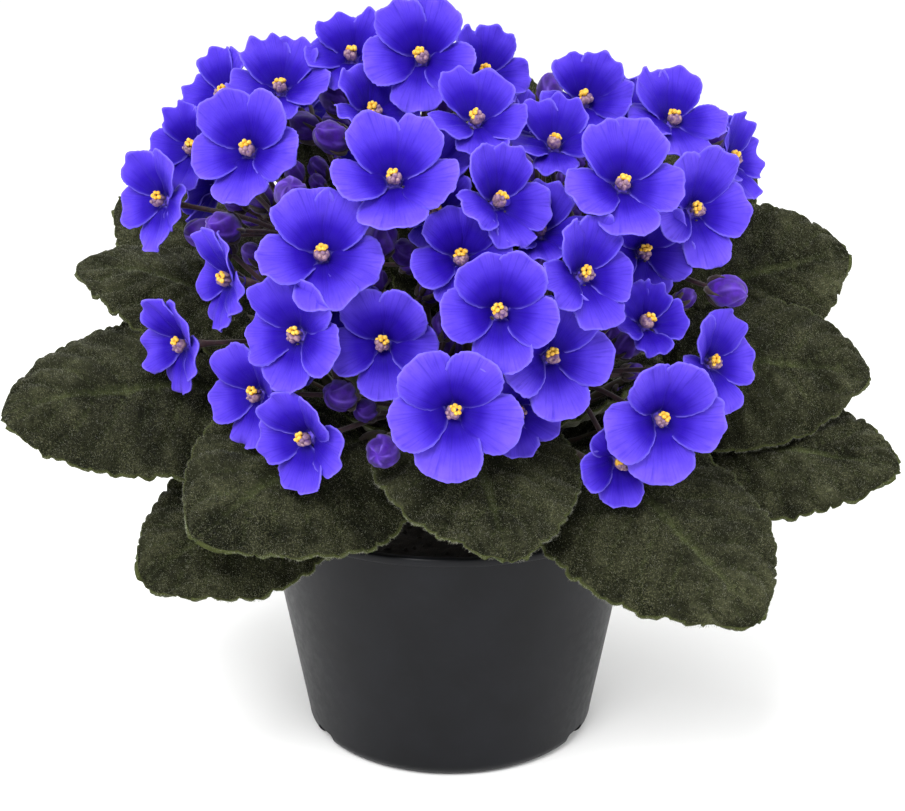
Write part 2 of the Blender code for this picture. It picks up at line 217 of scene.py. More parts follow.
def object_noise(tree, period, detail=4.0, roughness=0.55):
    """Noise over Object coordinates whose lumps are about one period (metres) across."""
    place = node(tree, "ShaderNodeTexCoord").outputs["Object"]
    lumps = node(tree, "ShaderNodeTexNoise", {}, {
        "Vector": place, "Scale": 1 / period, "Detail": detail, "Roughness": roughness})
    return lumps.outputs["Fac"]


def attribute(tree, name):
    """Value socket of a float attribute stored on the piece."""
    return node(tree, "ShaderNodeAttribute", {"attribute_name": name}).outputs["Fac"]


def bump(tree, shader, height, distance, strength=1.0, under=None):
    """Raise the surface by a height socket; distance is the relief in metres."""
    inputs = {"Height": height, "Distance": distance, "Strength": strength}
    if under is not None:
        inputs["Normal"] = under
    raised = node(tree, "ShaderNodeBump", {}, inputs)
    tree.links.new(raised.outputs["Normal"], shader.inputs["Normal"])
    return raised.outputs["Normal"]


def moulded_polypropylene(looks):
    """Black injection-moulded PP: satin, with a fine spark-eroded grain and faint flow marks."""
    made, tree, shader = start_material("moulded_polypropylene", {
        "IOR": 1.49, "Specular IOR Level": 0.17})
    flow = object_noise(tree, 18 * MM, 3.0)
    dust = object_noise(tree, 3 * MM, 6.0, 0.7)
    tone = blend(tree, remap(tree, flow, 0.35, 0.65), rgba(looks.plastic), rgba(looks.flow))
    dusty = blend(tree, remap(tree, dust, 0.52, 0.8, 0.0, 0.35), tone, rgba(looks.dust))
    tree.links.new(dusty, shader.inputs["Base Color"])
    tree.links.new(remap(tree, dust, 0.3, 0.7, 0.36, 0.5), shader.inputs["Roughness"])
    grain = object_noise(tree, 0.5 * MM, 2.0)        # drawn coarser than the real 0.1 mm grain
    bump(tree, shader, grain, 0.03 * MM, 0.5)
    return made


def peat_compost(looks):
    """Damp sphagnum peat: crumbs and short fibres, dull, almost black where it is wet."""
    made, tree, shader = start_material("peat_compost", {"Roughness": 0.95, "IOR": 1.4})
    crumbs = object_noise(tree, 2.5 * MM, 8.0, 0.65)
    fibres = object_noise(tree, 0.8 * MM, 4.0, 0.7)
    tone = blend(tree, remap(tree, crumbs, 0.35, 0.65), rgba(looks.wet), rgba(looks.dry))
    flecked = blend(tree, remap(tree, fibres, 0.6, 0.72), tone, rgba(looks.fibre))
    tree.links.new(flecked, shader.inputs["Base Color"])
    bump(tree, shader, fibres, 0.6 * MM)
    return made


def leaf_upper_skin(looks):
    """Upper face of a fleshy leaf: dark olive with a random darker mottle, painted shade in the
    hollows, towards the base and in random patches, painted light on the puckers, lighter veins
    and rim, and pale specks for the hairs that are too short to model, fewer in the painted shade."""
    made, tree, shader = start_material("leaf_upper_skin", {
        "IOR": 1.42, "Specular IOR Level": 0.04, "Sheen Weight": 0.03, "Sheen Roughness": 0.45,
        "Sheen Tint": srgb("#C8CCB0", True), **translucent(0.08, (0.6, 1.0, 0.3))})
    patch = object_noise(tree, 14 * MM, 3.0)
    cells = object_noise(tree, 1.6 * MM, 4.0, 0.6)
    specks = object_noise(tree, 0.42 * MM, 2.0, 0.6)
    painted_shade_noise = object_noise(tree, 9 * MM, 2.0)
    # Painted light on the puckers and painted shade in the hollows and towards the base, by the
    # stored attribute.
    raised = blend(tree, attribute(tree, "pucker_light_and_shade"), rgba(looks.blade_mottle_and_painted_shade), rgba(looks.blade_painted_light))
    green = blend(tree, remap(tree, patch, 0.35, 0.65, 0.1, 0.6), raised, rgba(looks.blade))
    veined = blend(tree, attribute(tree, "vein"), green, rgba(looks.vein))
    mottled = blend(tree, remap(tree, cells, 0.4, 0.65, 0.0, 0.65), veined, rgba(looks.blade_mottle_and_painted_shade))
    # Painted shade: random patches of the noise darkened towards the darkest green.
    sunk = blend(tree, remap(tree, painted_shade_noise, 0.38, 0.64, 0.55, 0.0), mottled, rgba(looks.blade_mottle_and_painted_shade))
    # The hair specks thin out in the same painted-shade patches.
    nap = remap(tree, painted_shade_noise, 0.35, 0.65, 0.15, 0.8)
    hairy = node(tree, "ShaderNodeMath", {"operation": "MULTIPLY"}, {
        0: remap(tree, specks, 0.5, 0.68), 1: nap}).outputs[0]
    velvet = blend(tree, hairy, sunk, rgba(looks.velvet))
    rimmed = blend(tree, attribute(tree, "rim"), velvet, rgba(looks.rim))
    tree.links.new(rimmed, shader.inputs["Base Color"])
    tree.links.new(remap(tree, cells, 0.3, 0.7, 0.55, 0.75), shader.inputs["Roughness"])
    low = bump(tree, shader, cells, 0.5 * MM, 0.9)
    bump(tree, shader, specks, 0.18 * MM, 0.8, low)
    return made


def leaf_under_skin(looks):
    """Lower face of a leaf: paler silvery green with a wine flush and raised veins."""
    made, tree, shader = start_material("leaf_under_skin", {
        "IOR": 1.42, "Specular IOR Level": 0.3, "Sheen Weight": 0.4, "Sheen Roughness": 0.5,
        "Sheen Tint": srgb("#D8D6C4", True), "Roughness": 0.7,
        **translucent(0.08, (0.6, 1.0, 0.3))})
    patch = object_noise(tree, 12 * MM, 4.0)
    cells = object_noise(tree, 1.4 * MM, 4.0, 0.6)
    flush = blend(tree, remap(tree, patch, 0.45, 0.75, 0.0, 0.6), rgba(looks.under),
                  rgba(looks.under_flush))
    veined = blend(tree, attribute(tree, "vein"), flush, rgba(looks.under_vein))
    tree.links.new(veined, shader.inputs["Base Color"])
    bump(tree, shader, cells, 0.35 * MM, 0.8)
    return made


def plain_hair(name, colour):
    """Soft glandular hairs: pale and slightly see-through, so that they catch the light."""
    made, tree, shader = start_material(name, {
        "Roughness": 0.5, "IOR": 1.4, **translucent(0.3, (0.3, 0.3, 0.2))})
    tint = object_noise(tree, 5 * MM, 2.0)
    shade = tuple(c * 0.7 for c in colour)
    tree.links.new(blend(tree, tint, rgba(shade), rgba(colour)), shader.inputs["Base Color"])
    return made


def petiole_skin(looks):
    """Juicy leaf stalk: olive, flushed with wine in patches."""
    made, tree, shader = start_material("petiole_skin", {
        "Roughness": 0.55, "IOR": 1.42, "Sheen Weight": 0.3,
        **translucent(0.1, (1.0, 0.6, 0.3))})
    patch = object_noise(tree, 8 * MM, 4.0)
    grain = object_noise(tree, 0.8 * MM, 3.0)
    tone = blend(tree, remap(tree, patch, 0.35, 0.65), rgba(looks.petiole), rgba(looks.flush))
    tree.links.new(tone, shader.inputs["Base Color"])
    bump(tree, shader, grain, 0.15 * MM)
    return made


def petal_skin(looks):
    """Fresh violet petal: a deep throat that lightens outwards, fine fanned veins, a paler
    hairy line at the ruffled margin and the faint glitter of domed surface cells."""
    made, tree, shader = start_material("petal_skin", {
        "IOR": 1.38, "Specular IOR Level": 0.08, "Sheen Weight": 0.06, "Sheen Roughness": 0.4,
        "Sheen Tint": srgb("#A79BFF", True), **translucent(0.18, (0.8, 0.6, 1.6))})
    reach = attribute(tree, "reach")
    fan = attribute(tree, "fan")
    mottle = object_noise(tree, 6 * MM, 3.0)
    grain = object_noise(tree, 0.5 * MM, 3.0)
    stretch = node(tree, "ShaderNodeCombineXYZ", {}, {"X": fan, "Y": reach}).outputs[0]
    streaks = node(tree, "ShaderNodeTexNoise", {}, {
        "Vector": node(tree, "ShaderNodeMapping", {}, {
            "Vector": stretch, "Scale": (22.0, 1.6, 1.0)}).outputs[0],
        "Scale": 1.0, "Detail": 3.0, "Roughness": 0.6}).outputs["Fac"]
    spread = blend(tree, remap(tree, reach, 0.38, 0.95), rgba(looks.petal), rgba(looks.petal_tip))
    soft = blend(tree, remap(tree, mottle, 0.35, 0.65, 0.0, 0.3), spread, rgba(looks.petal))
    veined = blend(tree, remap(tree, streaks, 0.5, 0.7, 0.0, 0.4), soft, rgba(looks.petal_vein))
    deep = blend(tree, remap(tree, reach, 0.12, 0.55, 1.0, 0.0), veined, rgba(looks.throat))
    rimmed = blend(tree, attribute(tree, "edge"), deep, rgba(looks.petal_edge))
    tree.links.new(rimmed, shader.inputs["Base Color"])
    tree.links.new(remap(tree, grain, 0.3, 0.7, 0.45, 0.62), shader.inputs["Roughness"])
    low = bump(tree, shader, streaks, 0.2 * MM, 0.9)
    bump(tree, shader, grain, 0.1 * MM, 0.8, low)
    return made


def grained_skin(name, dark, light, period, relief, sockets):
    """Soft plant tissue in two tones of one colour, lumpy at the given period."""
    made, tree, shader = start_material(name, sockets)
    lumps = object_noise(tree, period, 4.0)
    tone = blend(tree, remap(tree, lumps, 0.35, 0.65), rgba(dark), rgba(light))
    tree.links.new(tone, shader.inputs["Base Color"])
    bump(tree, shader, lumps, relief)
    return made


def bud_skin(looks):
    """Closed petals of a bud: deep purple, lighter along each overlapping edge."""
    made, tree, shader = start_material("bud_skin", {
        "Roughness": 0.5, "IOR": 1.38, "Specular IOR Level": 0.3, "Sheen Weight": 0.1})
    lumps = object_noise(tree, 3 * MM, 4.0)
    tone = blend(tree, remap(tree, lumps, 0.4, 0.75), rgba(looks.bud), rgba(looks.bud_light))
    edged = blend(tree, attribute(tree, "seam"), tone, rgba(looks.bud_edge))
    tree.links.new(edged, shader.inputs["Base Color"])
    bump(tree, shader, lumps, 0.2 * MM)
    return made


# ---------------------------------------------------------------- modelling helpers

def direction(azimuth, elevation=0.0):
    """Unit vector for an azimuth from the front and an elevation over the horizontal."""
    a = math.radians(azimuth)
    e = math.radians(elevation)
    return Vector((math.sin(a) * math.cos(e), -math.cos(a) * math.cos(e), math.sin(e)))


def add_object(name, bm, materials=()):
    """Turn a bmesh into an object of the scene."""
    mesh = bpy.data.meshes.new(name)
    bm.to_mesh(mesh)
    bm.free()
    for material in materials:
        mesh.materials.append(material)
    made = bpy.data.objects.new(name, mesh)
    bpy.context.scene.collection.objects.link(made)
    return made


def add_piece(name, bm, materials, replaced=()):
    """Turn a bmesh into a smooth piece that rides with the plant."""
    piece = add_object(name, bm, materials)
    piece.data.shade_smooth()
    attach(piece, "root")
    if replaced:
        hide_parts(*replaced)
    return piece


def thicken(piece, thickness, material_offset=0):
    """Give an open sheet its real thickness, growing away from its outer face."""
    wall = piece.modifiers.new("thickness", "SOLIDIFY")
    wall.thickness = thickness
    wall.offset = -1.0
    wall.material_offset = material_offset
    wall.use_even_offset = False


def apply_modifiers(piece):
    """Give a piece the mesh that its modifiers make."""
    bpy.context.view_layer.update()
    depsgraph = bpy.context.evaluated_depsgraph_get()
    mesh = bpy.data.meshes.new_from_object(piece.evaluated_get(depsgraph))
    piece.modifiers.clear()
    piece.data = mesh


def paint(faces, material):
    """Give faces one of their mesh's materials."""
    for face in faces:
        face.material_index = material


def revolve(profile, steps):
    """Spin an outline of radii and heights round the Z axis into a closed shape."""
    bm = bmesh.new()
    verts = [bm.verts.new((r, 0, z)) for r, z in profile]
    edges = [bm.edges.new(pair) for pair in zip(verts, verts[1:])]
    bmesh.ops.spin(bm, geom=verts + edges, cent=(0, 0, 0), axis=(0, 0, 1),
                   angle=2 * math.pi, steps=steps, use_merge=True, use_duplicate=False)
    bmesh.ops.remove_doubles(bm, verts=bm.verts, dist=0.005 * MM)
    bmesh.ops.recalc_face_normals(bm, faces=bm.faces)
    return bm


def store(bm, name, values):
    """Keep one float for each vertex in a named attribute."""
    layer = bm.verts.layers.float.new(name)
    for vert, value in zip(bm.verts, values):
        vert[layer] = value


def bezier(start, start_pull, end_pull, end, count):
    """Points along a cubic curve, both ends included."""
    points = []
    for i in range(count):
        t = i / (count - 1)
        u = 1 - t
        points.append(start * u**3 + start_pull * 3 * u * u * t
                      + end_pull * 3 * u * t * t + end * t**3)
    return points


def ring_frame(point, along, across):
    """Matrix that stands a flat ring at a point, square to a direction."""
    side = (across - along * across.dot(along)).normalized()
    turn = Matrix((side, along.cross(side), along)).transposed().to_4x4()
    return Matrix.Translation(point) @ turn


def append(bm, part):
    """Move everything from one bmesh into another."""
    made = bpy.data.meshes.new("part")
    part.to_mesh(made)
    part.free()
    bm.from_mesh(made)
    bpy.data.meshes.remove(made)


def sweep(bm, points, radii, sides, material=0):
    """Extrude a circle along a path into a closed tube of changing radius.

    The tube is made in a small bmesh of its own, because operators slow down in a large one.
    """
    tube = bmesh.new()
    across = (points[1] - points[0]).orthogonal()
    last = len(points) - 1
    ring = bmesh.ops.create_circle(tube, cap_ends=False, radius=1.0, segments=sides)["verts"]
    edges = tube.edges[:]
    bmesh.ops.contextual_create(tube, geom=edges)
    before = Matrix.Identity(4)
    verts = ring
    for i, point in enumerate(points):
        along = (points[min(i + 1, last)] - points[max(i - 1, 0)]).normalized()
        now = ring_frame(point, along, across) @ Matrix.Diagonal((radii[i], radii[i], 1, 1))
        across = now.to_3x3() @ Vector((1, 0, 0))
        if i > 0:
            grown = bmesh.ops.extrude_edge_only(tube, edges=edges)["geom"]
            verts = [item for item in grown if isinstance(item, bmesh.types.BMVert)]
            edges = [item for item in grown if isinstance(item, bmesh.types.BMEdge)
                     and all(end in verts for end in item.verts)]
        bmesh.ops.transform(tube, matrix=now @ before.inverted(), verts=verts)
        before = now
    bmesh.ops.contextual_create(tube, geom=edges)
    bmesh.ops.recalc_face_normals(tube, faces=tube.faces)
    paint(tube.faces, material)
    append(bm, tube)


def add_ball(bm, shape, material=0, detail=(10, 8)):
    """A closed unit ball, placed and stretched by a matrix."""
    verts = bmesh.ops.create_uvsphere(bm, u_segments=detail[0], v_segments=detail[1],
                                      radius=1.0, matrix=shape)["verts"]
    paint({face for vert in verts for face in vert.link_faces}, material)


def surface_samples(piece, count, rng, last_material=None):
    """Random points and normals on a piece, evenly by area.

    Faces with a material after last_material, if one is given, are left out.
    """
    depsgraph = bpy.context.evaluated_depsgraph_get()
    shown = piece.evaluated_get(depsgraph)
    mesh = shown.to_mesh()
    mesh.calc_loop_triangles()
    spots = np.empty(len(mesh.vertices) * 3)
    mesh.vertices.foreach_get("co", spots)
    corners = np.empty(len(mesh.loop_triangles) * 3, int)
    mesh.loop_triangles.foreach_get("vertices", corners)
    owner = np.empty(len(mesh.loop_triangles), int)
    mesh.loop_triangles.foreach_get("material_index", owner)
    shown.to_mesh_clear()
    triangles = spots.reshape(-1, 3)[corners.reshape(-1, 3)]
    if last_material is not None:
        triangles = triangles[owner <= last_material]
    sides = np.cross(triangles[:, 1] - triangles[:, 0], triangles[:, 2] - triangles[:, 0])
    areas = np.linalg.norm(sides, axis=1)
    chosen = rng.choice(len(areas), count, p=areas / areas.sum())
    mix = rng.dirichlet((1, 1, 1), count)
    points = (triangles[chosen] * mix[:, :, None]).sum(1)
    return points, sides[chosen] / areas[chosen][:, None]


def add_bristles(name, points, along, lengths, radius, material):
    """Closed three-sided spikes that stand at points and point along given directions."""
    bm = bmesh.new()
    bmesh.ops.create_cone(bm, segments=3, cap_ends=True, radius1=1.0, radius2=0, depth=1.0,
                          matrix=Matrix.Translation((0, 0, 0.5)))
    piece = add_piece(name, bm, [material])
    copies = piece.modifiers.new("copies", "ARRAY")
    copies.count = len(points)
    copies.use_relative_offset = False
    apply_modifiers(piece)
    mesh = piece.data
    local = np.empty(len(mesh.vertices) * 3)
    mesh.vertices.foreach_get("co", local)
    local = local.reshape(len(points), -1, 3)
    across = np.cross(along, np.roll(along, 1, axis=1))
    across /= np.linalg.norm(across, axis=1)[:, None]
    third = np.cross(along, across)
    placed = points[:, None, :] + radius * (local[:, :, :1] * across[:, None, :]
                                            + local[:, :, 1:2] * third[:, None, :])
    placed += local[:, :, 2:] * (along * lengths[:, None])[:, None, :]
    mesh.vertices.foreach_set("co", placed.ravel())
    mesh.update()
    return piece


def coat_with_hairs(name, piece, count, length, radius, material, seed, last_material):
    """Scatter short leaning hairs over a piece."""
    tousle = 0.45
    rng = np.random.default_rng(seed)
    points, normals = surface_samples(piece, count, rng, last_material)
    along = normals + rng.normal(0, tousle, (count, 3))
    along /= np.linalg.norm(along, axis=1)[:, None]
    lengths = length * rng.uniform(0.5, 1.2, count)
    return add_bristles(name, points, along, lengths, radius, material)


# ---------------------------------------------------------------- reading the frame

def unique_points(name):
    """The different vertices of a CAD node, in metres."""
    spots = np.array([vert.co[:] for vert in NODES[name].data.vertices])
    return np.unique(spots.round(7), axis=0)


def read_flower(name):
    """Throat centre, facing direction and width of a CAD flower.

    The rim's points lie in planes square to the way the flower faces, and the end of its tube
    is the part farthest behind them.
    """
    rim_points = 24
    end_depth = 0.4 * MM
    spots = unique_points(name)
    middle = spots.mean(0)
    far = spots[np.argsort(np.linalg.norm(spots - middle, axis=1))[-rim_points:]]
    forward = np.linalg.svd(far - far.mean(0))[2][2]
    heights = (spots - middle) @ forward
    if abs(heights.min()) < abs(heights.max()):
        forward = -forward
        heights = -heights
    tube_end = spots[heights < heights.min() + end_depth].mean(0)
    offsets = spots - tube_end
    depths = offsets @ forward
    radii = np.linalg.norm(offsets - depths[:, None] * forward, axis=1)
    throat = tube_end + forward * bpy.context.scene.violet_flowers.tube_length
    return Vector(throat), Vector(forward), 2 * radii.max()


def read_leaf(name):
    """Foot, blade base, blade tip, width and side direction of a CAD leaf.

    The tip is the far place where vertices crowd, and the margins' widest pair stands square
    to the line from its middle to the tip.
    """
    foot_points = 8
    crowd = 2.7 * MM            # distance within which the tip's vertices lie
    square = 0.03               # largest cosine that counts as a right angle
    swept_back = 1.2 * MM       # how far the margins lie behind the midrib's point there
    tip_share = 0.55            # part of the solid's blade that lies beyond its widest place
    spots = unique_points(name)
    reach = np.hypot(spots[:, 0], spots[:, 1])
    foot = spots[np.argsort(reach)[:foot_points]].mean(0)
    gaps = spots[:, None, :] - spots[None, :, :]
    sizes = np.linalg.norm(gaps, axis=2)
    away = np.linalg.norm(spots - foot, axis=1)
    crowded = (sizes < crowd).sum(1) * (away > 0.6 * away.max())
    tip = spots[sizes[crowded.argmax()] < crowd].mean(0)
    middles = (spots[:, None, :] + spots[None, :, :]) / 2
    to_tip = tip - middles
    lean = np.abs((gaps * to_tip).sum(2)) / (sizes * np.linalg.norm(to_tip, axis=2) + 1e-9)
    sizes[lean > square] = 0
    left, right = np.unravel_index(sizes.argmax(), sizes.shape)
    middle = Vector(middles[left, right])
    tip = Vector(tip)
    along = (tip - middle).normalized()
    length = ((tip - middle).length - swept_back) / tip_share
    side = Vector(spots[left] - spots[right]).normalized()
    if side.cross(along).z < 0:
        side = -side
    return Vector(foot), tip - along * length, tip, sizes[left, right], side


# ---------------------------------------------------------------- leaves

class Blade:
    """The curved surface of one leaf, from its foot, blade base, tip, width and side.

    Places on it are a share of its length and a share of its half width, which is negative on
    the left as one looks at the upper face with the tip away.
    """

    full_width = 50 * MM        # blades narrower than this are flatter and thinner in step
    base_power = 0.42           # how bluntly the outline starts, and how sharply it ends
    tip_power = 0.7
    side_veins = 7.5
    midrib_width = 0.7 * MM
    vein_width = 0.45 * MM

    def __init__(self, place, looks, seed):
        self.foot, self.base, self.tip, self.width, side = place
        self.length = (self.tip - self.base).length
        self.along = (self.tip - self.base) / self.length
        self.side = (side - self.along * side.dot(self.along)).normalized()
        self.up = self.side.cross(self.along)
        self.scale = min(1.0, self.width / self.full_width)
        self.looks = looks
        self.rng = random.Random(seed)
        self.phase = self.rng.uniform(0, TURN)
        self.twist = self.rng.uniform(-1.5, 1.5) * MM
        shares = np.linspace(0, 1, 400)
        halves = np.array([self.plain_half(s) for s in shares])
        steps = np.hypot(np.diff(shares) * self.length, np.diff(halves))
        self.shares = shares
        self.walked = np.concatenate(([0], np.cumsum(steps)))

    def plain_half(self, share):
        """Half width of the outline before its scallops."""
        widest = self.base_power / (self.base_power + self.tip_power)
        peak = widest**self.base_power * (1 - widest)**self.tip_power
        shape = share**self.base_power * (1 - share)**self.tip_power
        return self.width / 2 * 1.03 * shape / peak

    def half(self, share):
        """Half width of the scalloped outline."""
        walked = np.interp(share, self.shares, self.walked)
        turn = walked / self.looks.tooth_pitch + self.phase
        tooth = abs(math.sin(math.pi * (turn + 0.12 * math.sin(2 * math.pi * turn))))
        depth = self.looks.tooth_depth * min(1.0, 6 * share, 8 * (1 - share))
        depth *= 1 + 0.25 * math.sin(2.1 * turn)
        return max(self.plain_half(share) + depth * (tooth**0.6 - 0.65), 0.5 * MM)

    def order(self, share, across):
        """Counts the side veins from the base, a whole number on each one."""
        spread = abs(across)
        wander = 0.012 * math.sin(9 * spread + self.phase)
        return (share - 0.32 * spread**0.8 + wander) * self.side_veins

    def veins(self, share, across):
        """How strongly a vein runs here, from 0 to 1."""
        distance = abs(across) * self.plain_half(share)
        midrib = math.exp(-(distance / self.midrib_width)**2) * min(1, 2.5 * (1 - share))
        order = self.order(share, across)
        gap = (order - round(order)) / self.side_veins * self.length
        lateral = math.exp(-(gap / self.vein_width)**2) * min(1, 1.6 * (1 - abs(across)))
        return min(1.0, max(midrib, 0.6 * lateral))

    def quilt(self, share, across):
        """Height of the puckers between the veins, from 0 to about 1."""
        distance = abs(across) * self.plain_half(share)
        between = abs(math.sin(math.pi * self.order(share, across)))**0.7
        between *= 1 - math.exp(-(distance / (2.2 * MM))**2)
        spot = Vector((share * self.length, math.copysign(distance, across), self.phase * 0.05))
        lumps = noise.noise(spot / (5.5 * MM)) * 0.55 + noise.noise(spot / (2.6 * MM)) * 0.3
        swell = noise.noise(spot / (17 * MM)) * 0.9
        fade = min(1.0, 4.4 * self.plain_half(share) / self.width)
        return (between * (0.7 + lumps) + swell) * fade

    def place(self, share, across):
        """Point of the upper face at a share of the length and a share of the half width."""
        looks = self.looks
        half = self.half(share)
        spread = min(half / (self.width / 2), 1.0)
        wave = looks.wave * math.sin(9 * share + self.phase + 2 * across) * across**2 * spread
        lift = looks.arch * 4 * share * (1 - share) - looks.camber * spread * across**2
        lift *= self.scale
        lift += looks.quilt_height * (self.quilt(share, across) - 0.4)
        lift -= looks.vein_depth * self.veins(share, across) - wave
        lift += self.twist * across * share
        back = looks.lobe_sweep * self.scale * (1 - share)**3 * spread * across**2
        return (self.base + self.along * (self.length * share - back)
                + self.side * (half * across) + self.up * lift)


def young_leaf(azimuth, base_reach, base_height, tip_reach, tip_height, width):
    """Place of a small leaf that still stands up round the crown."""
    outward = direction(azimuth)
    foot = outward * CROWN_HIGH.x + UP * LEAF_FOOT_HEIGHT
    base = outward * base_reach * MM + UP * base_height * MM
    tip = outward * tip_reach * MM + UP * tip_height * MM
    return foot, base, tip, width * MM, UP.cross(outward)


def blade_mesh(blade):
    """A grid bent over the blade, with the vein and rim strengths and the painted light and shade
    kept on its vertices.
    """
    columns = 34
    row_pitch = 0.56 * MM
    rim_width = 0.3 * MM
    bm = bmesh.new()
    rows = round(blade.length / row_pitch)
    bmesh.ops.create_grid(bm, x_segments=columns, y_segments=rows, size=1.0)
    veins, rims, pucker_lights_and_shades = [], [], []
    for vert in bm.verts:
        across = math.copysign(1 - (1 - abs(vert.co.x))**1.25, vert.co.x)
        share = (vert.co.y + 1) / 2
        share = 0.003 + 0.994 * (share - 0.09 * math.sin(2 * math.pi * share))
        vert.co = blade.place(share, across)
        edge = (1 - abs(across)) * blade.plain_half(share)
        end = (1 - share) * blade.length
        veins.append(blade.veins(share, across))
        # Painted light on the puckers and painted shade in the hollows between them, darker
        # towards the base where the flowers shade the blade.
        pucker_light_and_shade = (0.1 + 0.75 * blade.quilt(share, across)) * (0.5 + 0.6 * share)
        pucker_lights_and_shades.append(min(max(pucker_light_and_shade, 0.0), 1.0))
        rims.append(math.exp(-(min(edge, end) / rim_width)**2))
    store(bm, "vein", veins)
    store(bm, "rim", rims)
    store(bm, "pucker_light_and_shade", pucker_lights_and_shades)
    if sum(face.normal.dot(blade.up) for face in bm.faces) < 0:
        bmesh.ops.reverse_faces(bm, faces=bm.faces)
    return bm


def petiole_mesh(blade, radius):
    """The leaf stalk from the crown, running on under the blade as its midrib."""
    free_steps, midrib_steps = 22, 14
    midrib_share = 0.75         # part of the blade's length that the midrib reaches
    gap = 0.2 * MM              # between the upper face and the rib below it
    outward = Vector((blade.base.x, blade.base.y, 0)).normalized()
    reach = (blade.base - blade.foot).length
    rise = (outward + UP * 0.5).normalized()
    end = blade.base - blade.up * (radius + gap)
    path = bezier(blade.foot, blade.foot + rise * reach * 0.35,
                  end - blade.along * reach * 0.3, end, free_steps)
    radii = [radius] * len(path)
    for i in range(1, midrib_steps + 1):
        thin = radius * (1 - 0.82 * i / midrib_steps)
        path.append(blade.place(midrib_share * i / midrib_steps, 0) - blade.up * (thin + gap))
        radii.append(thin)
    bm = bmesh.new()
    sweep(bm, path, radii, sides=14)
    return bm


def rim_hairs(name, blade, count, material, seed):
    """A fringe of hairs that stands out round the blade's margin."""
    margin = 0.995
    rng = np.random.default_rng(seed)
    points, along = [], []
    for share, sign in zip(rng.beta(1.2, 1.0, count) * 0.98 + 0.01, rng.choice((-1, 1), count)):
        point = blade.place(share, sign * margin)
        inner = blade.place(share, sign * 0.9)
        ahead = blade.place(min(share + 0.01, 0.999), sign * margin) - point
        out = (point - inner).normalized() + blade.along * max(0.0, share - 0.7) * 2
        points.append(point - blade.up * rng.uniform(0, 0.8) * MM)
        along.append(out + ahead.normalized() * rng.normal(0, 0.3) + blade.up * rng.normal(0, 0.4))
    along = np.array([item.normalized()[:] for item in along])
    lengths = blade.looks.hair_length * rng.uniform(0.5, 1.15, count)
    return add_bristles(name, np.array([point[:] for point in points]), along, lengths,
                        blade.looks.hair_radius, material)


# ---------------------------------------------------------------- flowers

# For each lobe, the two small upper ones first: azimuth, then length, half width and forward
# lean of its tip as shares of the flower's radius, and how far it lies over the cup.
PETALS = (
    (59, 0.90, 0.45, 0.30, 1.0),
    (121, 0.90, 0.45, 0.32, 1.8),
    (195, 0.97, 0.45, 0.06, 0.5),
    (270, 1.0, 0.49, -0.05, -0.6),
    (345, 0.97, 0.45, 0.07, 0.0),
)

# How far the five lobes lean back, as shares of the flower's radius: on most flowers, and on
# one that is tucked behind its neighbour.
FREE = (0.0,) * 5
TUCKED = {"flower_30": (0.8, 0.55, 0.0, 0.0, 0.5)}

# Lumps of the knob in a flower's middle and the anthers over it, before they are scaled:
# centre and half widths in millimetres, with the smaller petals at +Y.
KNOBS = (
    ((0, -0.7, 0.7), (1.35, 1.15, 1.4)), ((-0.95, -0.3, 0.8), (0.8, 0.9, 1.3)),
    ((0.95, -0.35, 0.7), (0.8, 0.85, 1.3)), ((0.35, -1.45, 1.2), (0.65, 0.6, 1.0)),
    ((-0.6, -1.3, 1.5), (0.55, 0.55, 0.9)), ((0.2, -0.6, 1.9), (0.6, 0.6, 0.8)),
)
ANTHERS = (
    ((-0.8, 0.95, 1.8), (0.65, 0.55, 0.55)), ((0.05, 1.35, 1.7), (0.62, 0.55, 0.55)),
    ((0.85, 0.9, 1.8), (0.62, 0.55, 0.55)), ((-0.42, 0.3, 2.4), (0.6, 0.55, 0.55)),
    ((0.5, 0.25, 2.3), (0.62, 0.52, 0.52)), ((-1.2, 0.2, 1.5), (0.5, 0.45, 0.5)),
)


